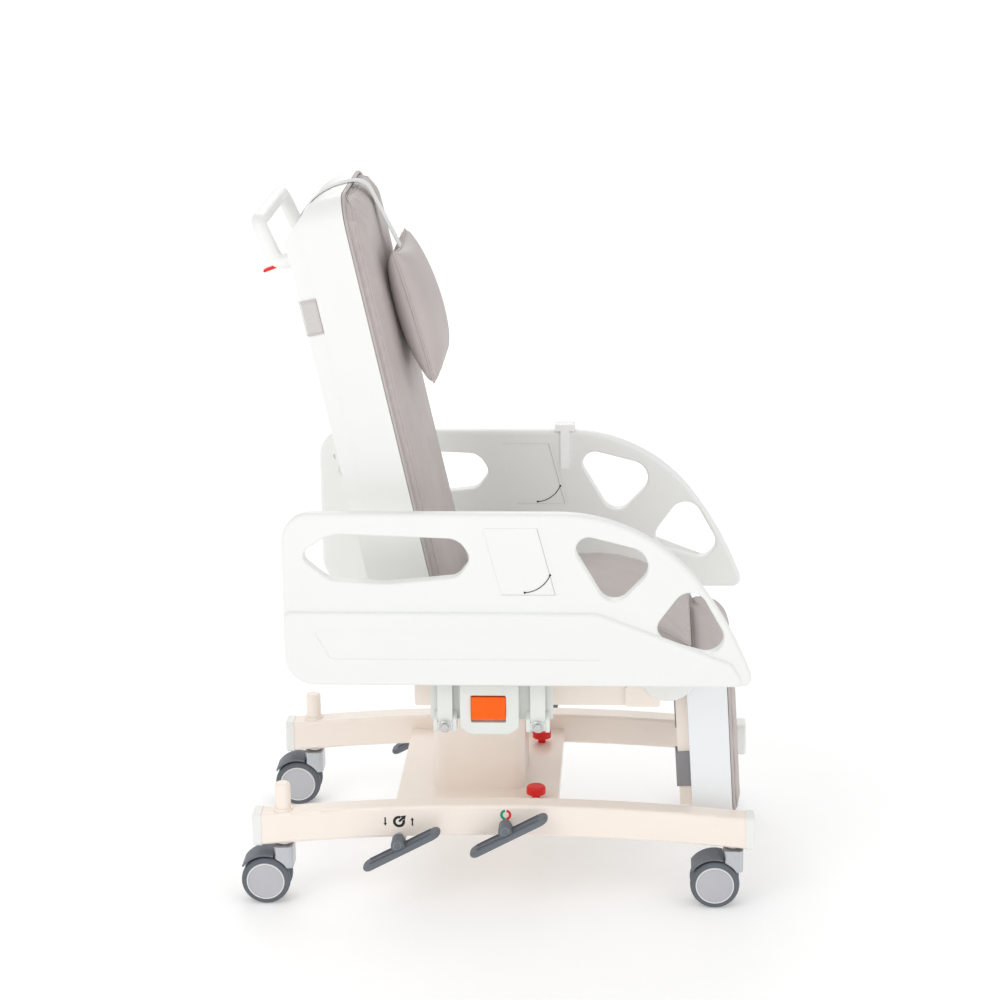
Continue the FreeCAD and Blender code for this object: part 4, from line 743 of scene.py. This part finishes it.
class CHAIR_OT_back_cushion(bpy.types.Operator):
    """Make the back cushion: a boxed pad with rounded top corners and piping round both edges."""

    bl_idname = "chair.back_cushion"
    bl_label = "Back cushion"

    def execute(self, context):
        size = sizes()
        leaning = back_frame()
        out, across, up = node_points("back_cushion", leaning)
        shrink, hold = 0.003, 0.004
        slack, crown, foot_corner = 0.006, 0.006, 0.016
        top_reach, top_fall = 0.034, 0.8
        foot_reach, foot_fall = 0.02, 0.4
        half = across.max() - shrink
        low, high = up.min() + shrink, up.max() - shrink
        base = out.min()
        thick = out.max() - base - slack
        outline = pad_outline((-half, low), (half, high), foot_corner, size.back_corner)

        def height(a, b):
            """Full thickness, rounded off towards the top and bottom edges, with a crown across."""
            top = np.clip((b - (high - top_reach)) / top_reach, 0, 1)
            foot = np.clip(((low + foot_reach) - b) / foot_reach, 0, 1)
            full = thick - slack + crown * (1 - (a / half) ** 2)
            return full * np.sqrt(1 - top_fall * top ** 2) * (1 - foot_fall * foot ** 2)

        a, b, raised = bag(outline, height, steps=14)
        piece = piece_from("back_cover_pad", [(leaning.at(base + raised, a, b), False, True)], VINYL)
        stuffed(piece, size.voxel, cap=0.007, held=lambda points: leaning.inside(points)[0] < base + hold)
        a, b = outline.T
        sewn_rim("back_front_piping", piece, leaning.at(base + height(a, b), a, b), "backrest")
        heel_welt("back_rear_piping", leaning.at(base + size.heel_piping, a, b), "backrest")
        finished(piece, "backrest", "back_cushion")
        return {"FINISHED"}


class CHAIR_OT_leg_cushion(bpy.types.Operator):
    """Make the leg cushion: a pad over the nose of the leg panel and down its front, piped at its edge."""

    bl_idname = "chair.leg_cushion"
    bl_label = "Leg cushion"

    def execute(self, context):
        size = sizes()
        leaning = LeaningFrame(JOINTS["leg_raise"]["pos_m"], size.leg_tilt)
        out, across, up = node_points("leg_cushion", leaning)
        front, top = out.max(), up.max()
        pad, nose = size.leg_pad, size.leg_nose
        skin, shrink, hold, corner = 0.0005, 0.003, 0.006, 0.012
        slack, crown, end_reach, end_share = 0.004, 0.002, 0.02, 0.6
        bend_start, bend_middle, base_step = 0.85, 0.3, 0.004
        mesh_step, rows, columns, thin_out = size.voxel * 0.8, 90, 60, 3
        inset = pad - skin
        swell = inset * math.sqrt(0.5)
        bend = arc_through((front - bend_start * nose, top - inset),
                           (front - bend_middle * nose - swell, top - bend_middle * nose - swell),
                           (front - inset, top - nose))
        rear_end, low_end = [out.min() + shrink, top - inset], [front - inset, up.min() + shrink]
        base = spaced(np.vstack([rear_end, bend, low_end]), base_step)
        run = distances(base)
        along = unit(np.gradient(base, axis=0))
        outwards = np.column_stack([-along[:, 1], along[:, 0]])
        half, reach = across.max() - shrink, run[-1]
        outline = pad_outline((0, -half), (reach, half), corner, corner)

        def height(s, a):
            """Nearly the full thickness, rounded off near the two ends, with a slight crown across."""
            end = np.clip(np.minimum(s, reach - s) / end_reach, 0, 1)
            rounded = end_share + (1 - end_share) * np.sqrt(1 - (1 - end) ** 2)
            return (pad - slack) * rounded + crown * (1 - (a / half) ** 2)

        def on_base(s, a, raised):
            """The point at s along the base line and a across, raised off the base."""
            x, z = (np.interp(s, run, base[:, k]) + raised * np.interp(s, run, outwards[:, k])
                    for k in (0, 1))
            return leaning.at(x, a, z)

        s, a = np.meshgrid(np.linspace(0, reach, rows), np.linspace(-half, half, columns), indexing="ij")
        under, over = on_base(s, a, 0 * s), on_base(s, a, height(s, a))[::-1]
        lining = under[::thin_out, ::thin_out].reshape(-1, 3)
        s, a = border_of(s.T), border_of(a.T)
        wall = np.stack([on_base(s, a, 0 * s), on_base(s, a, height(s, a))])
        sheets = [(under, False, False), (over, False, False), (wall, False, True)]
        piece = piece_from("leg_cover_pad", sheets, VINYL)
        stuffed(piece, mesh_step, cap=0.003, held=lambda points: nearest(points, lining)[1] < hold)
        s, a = outline.T
        seam = on_surface(piece.data, spaced(on_base(s, a, height(s, a)), SEAM_STEP, True))
        welt("leg_piping", smoothed(seam, rounds=3), size.piping, "leg_rest")
        heel_welt("leg_rear_piping", on_base(s, a, size.heel_piping), "leg_rest")
        finished(piece, "leg_rest", "leg_cushion")
        return {"FINISHED"}


class CHAIR_OT_head_pillow(bpy.types.Operator):
    """Make the head pillow: two panels sewn at a drawn-in rim and filled."""

    bl_idname = "chair.head_pillow"
    bl_label = "Head pillow"

    def execute(self, context):
        size = sizes()
        low, high = np.array(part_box("head_pillow"))
        centre = (low + high) / 2 - size.pillow_sink * back_frame().out
        leaning = LeaningFrame(centre, size.back_tilt + size.pillow_lean)
        rim, slack, hold, fullness = 0.0035, 0.006, 0.006, 0.42
        mesh_step, line_step, seam_depth, seam_width = 0.0045, 0.005, 0.001, 0.006
        count = 61
        side = np.sin(np.linspace(-np.pi / 2, np.pi / 2, count))
        a, b = np.meshgrid(side, side, indexing="ij")
        across = a * (size.pillow_half - size.pillow_draw * (1 - b ** 2))
        up = b * (size.pillow_tall / 2 - size.pillow_draw * (1 - a ** 2))
        swell = (size.pillow_thick / 2 - slack) * ((1 - a ** 2) * (1 - b ** 2)) ** fullness
        front = leaning.at(rim + swell, across, up)
        rear = leaning.at(-rim - swell, across, up)[::-1]
        across, up = border_of(across), border_of(up)
        wall = np.stack([leaning.at(-rim, across, up), leaning.at(rim, across, up)])
        edge = leaning.at(0.0, across, up)
        sheets = [(front, False, False), (rear, False, False), (wall, False, True)]
        piece = piece_from("head_pillow_cover", sheets, VINYL)
        stuffed(piece, mesh_step, cap=0.012, held=lambda points: nearest(points, edge)[1] < hold,
                pressure=6.0)
        seam = spaced(edge, line_step, True)
        sewn(piece, seam, seam_depth, seam_width)
        welt("pillow_piping", smoothed(seam, rounds=2), size.piping, "backrest")
        finished(piece, "backrest", "head_pillow")
        return {"FINISHED"}


def ribbon(name, path, across, finish, body, thick):
    """A strap: P(i, w) = path(i) + w across, with a UV map in metres along and across, thickened evenly."""
    steps = np.linspace(-1, 1, 9)
    points = path[:, None] + steps[None, :, None] * across
    mesh = bpy.data.meshes.new(name)
    mesh.from_pydata(points.reshape(-1, 3), [], grid_faces(len(path), len(steps)).tolist())
    run = distances(path)
    along = np.repeat(run, len(steps))
    aside = np.tile(steps * np.linalg.norm(across), len(path))
    corner = np.empty(len(mesh.loops), int)
    mesh.loops.foreach_get("vertex_index", corner)
    layer = mesh.uv_layers.new(name="weave")
    layer.data.foreach_set("uv", np.column_stack([along, aside])[corner].ravel())
    shade_smooth(mesh)
    mesh.materials.append(FINISHES[finish])
    piece = placed(name, mesh)
    wall = piece.modifiers.new("thickness", "SOLIDIFY")
    wall.thickness = thick
    wall.offset = 0.0
    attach(piece, body)
    return piece, run[-1]


class CHAIR_OT_pillow_strap(bpy.types.Operator):
    """Make the strap that carries the pillow over the top of the back, with its slide buckle."""

    bl_idname = "chair.pillow_strap"
    bl_label = "Pillow strap"

    def execute(self, context):
        size = sizes()
        leaning = back_frame()
        out, _, up = node_points("pillow_strap", leaning)
        cushion_out, _, cushion_up = node_points("back_cushion", leaning)
        pillow_out, _, pillow_up = node_points("head_pillow", leaning)
        web, front_gap, top_gap = size.web / 2, 0.001, 0.0003
        rear_zone, tuck, strap_step = 0.004, 0.020, 0.004
        bend_low, bend_in, bend_down = 0.030, 0.012, 0.008
        crest_middle, crest_sag, crest_end = 0.60, 0.3, 1.15
        front, top = cushion_out.max() + front_gap + web, cushion_up.max() + top_gap + web
        shell_front, rear = cushion_out.min(), out.min() + web
        foot = up[out < out.min() + rear_zone].min()
        seam = (pillow_out[np.argmax(pillow_up)] - size.pillow_sink, pillow_up.max() - tuck)
        drop, depth = size.crest_drop, shell_front - rear
        over = arc_through((front, top - bend_low), (front - bend_in, top - bend_down), (shell_front, top))
        crest = arc_through((shell_front, top), (shell_front - crest_middle * depth, top - crest_sag * drop),
                            (rear, top - crest_end * drop))
        route = np.vstack([[seam], over, crest[1:], [(rear, foot)]])
        path = smoothed(spaced(route, strap_step), rounds=3, closed_path=False)
        path = leaning.at(path[:, 0], 0.0, path[:, 1])
        half_width = np.array([0, size.strap_width / 2, 0])
        piece, run = ribbon("pillow_strap_web", path, half_width, "white_web", "backrest", size.strap_thick)
        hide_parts("pillow_strap")
        buckle_out, buckle_up, buckle_wider = 0.003, 0.034, 0.004
        bar_radius, post_radius = 0.0021, 0.0023
        middle = leaning.at(rear - buckle_out, 0.0, foot + buckle_up)
        half, tall = size.strap_width / 2 + buckle_wider, 0.011
        bar = middle + np.outer(np.linspace(-1, 1, 9) * half, ACROSS)
        post = middle + np.outer(np.linspace(-1, 1, 7), leaning.up) * tall
        loops = [tube(bar + leaning.up * shift * tall, bar_radius) for shift in (-1, 0, 1)]
        loops += [tube(post + ACROSS * shift * half, post_radius) for shift in (-1, 1)]
        piece_from("strap_buckle", loops, "slate_plastic", "backrest", sharp=60)
        return {"FINISHED"}


class CHAIR_OT_rear_band(bpy.types.Operator):
    """Make the woven band round the rear cover of the back, with its edge binding."""

    bl_idname = "chair.rear_band"
    bl_label = "Rear band"

    def execute(self, context):
        leaning = back_frame()
        out, across, up = node_points("rear_band", leaning)
        skin, thick, binding = 0.0012, 0.002, 0.0017
        end_round, corner, count, step = 0.0002, 0.010, 8, 0.005
        rear, front = out.min() + skin, out.max()
        half = across.max() - skin
        middle, tall = (up.min() + up.max()) / 2, (up.max() - up.min()) / 2
        corners = [(front, -half, end_round), (rear, -half, corner), (rear, half, corner),
                   (front, half, end_round)]
        path = spaced(rounded_corners(corners, count)[count // 2:-(count // 2)], step)
        points = leaning.at(path[:, 0], path[:, 1], middle)
        piece, run = ribbon("rear_band_web", points, leaning.up * tall, "grey_web", "backrest", thick)
        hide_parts("rear_band")
        edges = [tube(leaning.at(path[:, 0], path[:, 1], middle + k * tall), binding) for k in (-1, 1)]
        piece_from("rear_band_binding", edges, "grey_web", "backrest", sharp=80)
        return {"FINISHED"}


class CHAIR_OT_board_gauges(bpy.types.Operator):
    """Make the gauges on both faces of the side boards: a pale grey line round the panel, painted shade of its
    recessed edge, and a curved slot with its two ends.
    """

    bl_idname = "chair.board_gauges"
    bl_label = "Board gauges"

    def execute(self, context):
        arc_middle, arc_radius = np.array([0.0615, 0.7405]), 0.0575
        slot_radius, edge_shade_radius, line_step = 0.0009, 0.0006, 0.004
        inner_face, outer_face = 0.0010, 0.0290
        panel = [(-0.532, -0.028), (-0.418, -0.028), (-0.383, -0.164), (-0.497, -0.164)]
        dot = [(0, 0.0012), (0.0016, 0.0010), (0.0022, 0.0004), (0.0023, -0.0004), (0, -0.0006)]
        turn = np.linspace(math.radians(-86), math.radians(-22), 40)
        for side, sign in SIDES:
            low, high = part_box(f"{side}_side_board")
            inmost = min(abs(low[1]), abs(high[1]))
            border = spaced(np.array([high[0], high[2]]) + panel, line_step, True)
            slots, edge_shade_lines = [], []
            for face, facing in ((outer_face, sign), (inner_face, -sign)):
                y = sign * (inmost + face)
                arc = upright(arc_middle + arc_radius * spokes(turn), y)
                slots.append(tube(arc, slot_radius, sides=10))
                slots += [turned(arc[k], (0, facing, 0), dot, sides=20) for k in (0, -1)]
                # Painted shade: a pale grey line round the panel stands in for the shading along its recessed
                # edge.
                edge_shade_lines.append(tube(upright(border, y), edge_shade_radius, closed_path=True, sides=8))
            piece_from(f"{side}_gauge_slots", slots, "ink", f"{side}_board", sharp=80)
            piece_from(f"{side}_gauge_edge_shade_lines", edge_shade_lines, "pale_hub", f"{side}_board", sharp=80)
        return {"FINISHED"}


def ring_part(middle, radius, width, start, end, count=28):
    """The two edges of part of a ring, by angle in degrees."""
    rays = spokes(np.radians(np.linspace(start, end, count)))
    return middle + rays * (radius + width / 2), middle + rays * (radius - width / 2)


def flat_band(outer, inner, y, thick):
    """A flat mark between two matching lines (x, z), thick to both sides of y and closed at its ends."""
    lines = [(outer, -thick), (outer, thick), (inner, thick), (inner, -thick), (outer, -thick)]
    grid = np.stack([upright(line, y + shift) for line, shift in lines])
    first, last = grid[[[0, 1], [3, 2]], 0], grid[[[1, 0], [2, 3]], -1]
    return [(grid, False, False), (first, False, False), (last, False, False)]


def arrow(tail, head, shaft, barb, y, thick):
    """A flat arrow from tail to head: a bar and a triangle, as two bands."""
    overlap, blunt, point = 0.0005, 0.0002, 0.0003
    tail, head = np.asarray(tail, float), np.asarray(head, float)
    along = unit(head - tail)
    side = np.array([-along[1], along[0]])
    neck = head - along * barb * 1.5
    bar = np.stack([tail, neck + along * overlap])
    tip = np.stack([neck, head - along * blunt])
    reach = np.array([[barb], [point]])
    return (flat_band(bar + side * shaft / 2, bar - side * shaft / 2, y, thick)
            + flat_band(tip + side * reach, tip - side * reach, y, thick))


class CHAIR_OT_rail_marks(bpy.types.Operator):
    """Print the pedal marks on the outside of both rails: raise and lower, and brake on and off."""

    bl_idname = "chair.rail_marks"
    bl_label = "Rail marks"

    def execute(self, context):
        lift = np.array([JOINTS["lift_pedal_press"]["pos_m"][0], 0.181])
        brake = np.array([JOINTS["brake_pedal_turn"]["pos_m"][0], 0.1975])
        lift_ring, brake_ring = (0.0096, 0.0055), (0.0088, 0.005)
        reach, heading = 0.0195, np.array([0.72, 0.69])
        down, up = [(-0.028, 0.009), (-0.028, -0.009)], [(0.027, -0.009), (0.027, 0.009)]
        large, small = (0.0046, 0.0062), (0.0030, 0.0036)
        halves = (("free", "mark_green", 100, 260), ("locked", "mark_red", -80, 80))
        thick = 0.0003
        for side, sign in SIDES:
            low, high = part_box(f"{side}_base_rail")
            y = sign * max(abs(low[1]), abs(high[1]))
            ink = flat_band(*ring_part(lift, *lift_ring, 70, 380), y, thick)
            ink += arrow(lift, lift + reach * heading, *large, y, thick)
            for tail, head in (down, up):
                ink += arrow(lift + tail, lift + head, *small, y, thick)
            piece_from(f"{side}_lift_mark", ink, "ink", "base", sharp=30)
            for state, finish, start, end in halves:
                half_ring = flat_band(*ring_part(brake, *brake_ring, start, end), y, thick)
                piece_from(f"{side}_brake_mark_{state}", half_ring, finish, "base", sharp=30)
        return {"FINISHED"}


class CHAIR_OT_bolt_heads(bpy.types.Operator):
    """Make the bolt heads of the board hinges and the rear cover's screws."""

    bl_idname = "chair.bolt_heads"
    bl_label = "Bolt heads"

    def execute(self, context):
        radius = sizes().bolt_radius
        wide, eased, flat, narrow = radius * 1.25, radius * 1.15, radius * 0.78, radius * 0.70
        washer = [(0, 0.0), (wide, 0.0), (wide, 0.001), (eased, 0.0016), (0, 0.0016)]
        head = [(0, 0.0016), (flat, 0.0016), (flat, 0.0052), (narrow, 0.0062), (0, 0.0062)]
        screw = [(0, 0.0022), (0.0035, 0.0018), (0.0055, 0.0008), (0.006, -0.0005), (0, -0.0005)]
        arm_half, fork_half = 0.015, 0.0110
        screw_inset, screw_heights = 0.05, (0.06, 0.38)
        for side, sign in SIDES:
            pivot = JOINTS[f"{side}_arm_swing"]["pos_m"]
            low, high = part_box(f"{side}_board_arms")
            heads = []
            for x in (low[0] + arm_half, high[0] - arm_half):
                spot, axis = (x, sign * (abs(pivot[1]) + fork_half), pivot[2]), (0, sign, 0)
                heads += [turned(spot, axis, washer, sides=28), turned(spot, axis, head, 36, hexagon)]
            piece_from(f"{side}_hinge_bolts", heads, "bright_steel", "carriage", sharp=30)
        leaning = back_frame()
        out, across, _ = node_points("back_rear_cover", leaning)
        depth, aside = cover_flat(out), across.max() - screw_inset
        spots = [leaning.at(depth, a * aside, b) for a in (-1, 1) for b in screw_heights]
        screws = [turned(spot, -leaning.out, screw, sides=24) for spot in spots]
        piece_from("rear_cover_screws", screws, "bright_steel", "backrest", sharp=50)
        return {"FINISHED"}


def cover_flat(out):
    """The depth of the rear cover's flat: the millimetre that holds the most of its points."""
    bin_width = 0.001
    counts, edges = np.histogram(out, bins=np.arange(out.min(), out.max(), bin_width))
    return edges[np.argmax(counts)] + bin_width / 2


class CHAIR_OT_pedal_caps(bpy.types.Operator):
    """Make the round caps that close the outer ends of the pedal shafts."""

    bl_idname = "chair.pedal_caps"
    bl_label = "Pedal caps"

    def execute(self, context):
        radius = sizes().cap_radius
        inner, outer = 0.6 * radius, 0.9 * radius
        profile = [(0, 0.0024), (inner, 0.0021), (outer, 0.0012), (radius, 0.0002), (0, 0.0002)]
        for joint, shaft, body in (("lift_pedal_press", "lift_pedal_shaft", "lift_pedal"),
                                   ("brake_pedal_turn", "brake_pedal_shafts", "brake_pedal")):
            low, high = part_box(shaft)
            x, _, z = JOINTS[joint]["pos_m"]
            ends = ((low[1], -1), (high[1], 1))
            caps = [turned((x, y, z), (0, sign, 0), profile, sides=28) for y, sign in ends]
            piece_from(f"{body}_caps", caps, "slate_plastic", body, sharp=50)
        return {"FINISHED"}


class CHAIR_OT_caster_rim_highlight(bpy.types.Operator):
    """Make a pale ring on both faces of each caster's hub, near its rim: a painted highlight of the rounded rim.
    """

    bl_idname = "chair.caster_trim"
    bl_label = "Caster rim highlight"

    def execute(self, context):
        sunk, wire = 0.0003, 0.0011
        circle = sizes().rim_highlight_radius * spokes(full_turn(64))
        for end, side in CORNERS:
            low, high = np.array(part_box(f"{end}_{side}_caster_hubs"))
            x, y, z = (low + high) / 2
            half = (high[1] - low[1]) / 2
            # Painted highlight: a pale ring on each hub face stands in for the light caught by the hub's rounded
            # rim.
            paths = [upright(circle + (x, z), y + k * (half - sunk)) for k in (-1, 1)]
            rings = [tube(path, wire, closed_path=True, sides=8) for path in paths]
            piece_from(f"{end}_{side}_hub_rim_highlights", rings, "white_moulding", f"{end}_{side}_wheel", sharp=80)
        return {"FINISHED"}


class CHAIR_OT_stage(bpy.types.Operator):
    """Lay a plain pale floor, light it softly and set the camera."""

    bl_idname = "chair.stage"
    bl_label = "Stage"

    def execute(self, context):
        self.lay_floor()
        self.light(context.scene)
        self.set_camera(context.scene)
        return {"FINISHED"}

    def lay_floor(self):
        """A floor whose own glow rises with the distance from the chair, up to a white background."""
        reach, pale = 30.0, (0.88, 0.88, 0.88)
        mesh = bpy.data.meshes.new("floor")
        corners = [(-reach, -reach, 0), (reach, -reach, 0), (reach, reach, 0), (-reach, reach, 0)]
        mesh.from_pydata(corners, [], [(0, 1, 2, 3)])
        floor = placed("floor", mesh)
        material, tree, shader = started("pale_floor")
        tinted(tree, shader, pale, spread=0.01, factor=ranged(tree, noise(tree, scale=2), 0, 1))
        set_inputs(shader, {"Roughness": 0.7, "Emission Color": (1, 1, 1, 1)})
        place = added(tree, "TexCoord")
        away = added(tree, "VectorMath")
        away.operation = "LENGTH"
        tree.links.new(place.outputs["Object"], away.inputs[0])
        glow = ranged(tree, away.outputs["Value"], low=0.20, high=0.42, start=0.9, end=3.2)
        tree.links.new(glow, shader.inputs["Emission Strength"])
        mesh.materials.append(material)

    def light(self, scene):
        """A white surround, dimmer as light than as seen, and four soft lamps aimed at the middle."""
        world = bpy.data.worlds.new("studio")
        scene.world = world
        world.use_nodes = True
        tree = world.node_tree
        sky = tree.nodes["Background"]
        set_inputs(sky, {"Color": (1, 1, 1, 1)})
        seen = added(tree, "LightPath")
        strength = ranged(tree, seen.outputs["Is Camera Ray"], low=0.74, high=1.0, start=0.0, end=1.0)
        tree.links.new(strength, sky.inputs["Strength"])
        middle = np.array([0, 0, 0.7])
        lamps = {
            "key": ((-2.2, -3.2, 3.4), 2.6, 38),
            "fill": ((3.0, -2.2, 2.2), 2.6, 14),
            "rim": ((-0.5, 3.2, 3.0), 2.4, 34),
            "low": ((0.3, -3.4, 0.5), 1.6, 3),
        }
        for name, (place, width, power) in lamps.items():
            lamp = bpy.data.lights.new(name, "AREA")
            lamp.energy = power
            lamp.size = width
            light = placed(name, lamp)
            light.location = place
            light.rotation_mode = "QUATERNION"
            light.rotation_quaternion = Vector(middle - np.array(place)).to_track_quat("-Z", "Y")
        scene.view_settings.view_transform = "Standard"

    def set_camera(self, scene):
        """The camera that was fitted to the photograph's edges."""
        eye = Vector((0.298, -5.293, 2.290))
        yaw, pitch, roll = math.radians(3.14), math.radians(15.16), math.radians(-0.72)
        level = Vector((-math.sin(yaw), math.cos(yaw), 0))
        ahead = level * math.cos(pitch) - Vector((0, 0, math.sin(pitch)))
        right = Vector((math.cos(yaw), math.sin(yaw), 0))
        right = right * math.cos(roll) + right.cross(ahead) * math.sin(roll)
        lens = bpy.data.cameras.new("camera")
        lens.lens = 96.3
        lens.sensor_width = 36.0
        lens.shift_x = -0.003
        lens.shift_y = -0.037
        camera = placed("camera", lens)
        turn = Matrix((right, right.cross(ahead), -ahead)).transposed()
        camera.matrix_world = Matrix.Translation(eye) @ turn.to_4x4()
        scene.camera = camera


OPERATORS = (
    CHAIR_OT_finishes,
    CHAIR_OT_seat_cushion,
    CHAIR_OT_back_cushion,
    CHAIR_OT_leg_cushion,
    CHAIR_OT_head_pillow,
    CHAIR_OT_pillow_strap,
    CHAIR_OT_rear_band,
    CHAIR_OT_board_gauges,
    CHAIR_OT_rail_marks,
    CHAIR_OT_bolt_heads,
    CHAIR_OT_pedal_caps,
    CHAIR_OT_caster_rim_highlight,
    CHAIR_OT_stage,
)


class CHAIR_PT_looks(bpy.types.Panel):
    """Lists the steps that dress the chair."""

    bl_idname = "CHAIR_PT_looks"
    bl_label = "Transfer Chair"
    bl_space_type = "VIEW_3D"
    bl_region_type = "UI"
    bl_category = "Chair"

    def draw(self, context):
        for operator in OPERATORS:
            self.layout.operator(operator.bl_idname)


CLASSES = (ChairSizes, ChairColours, *OPERATORS, CHAIR_PT_looks)


def register():
    for item in CLASSES:
        bpy.utils.register_class(item)
    bpy.types.Scene.chair_sizes = PointerProperty(type=ChairSizes)
    bpy.types.Scene.chair_colours = PointerProperty(type=ChairColours)


def unregister():
    del bpy.types.Scene.chair_colours
    del bpy.types.Scene.chair_sizes
    for item in reversed(CLASSES):
        bpy.utils.unregister_class(item)


def main():
    """Registers the add-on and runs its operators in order."""
    register()
    for operator in OPERATORS:
        group, name = operator.bl_idname.split(".")
        getattr(getattr(bpy.ops, group), name)()


if __name__ == "__main__":
    main()
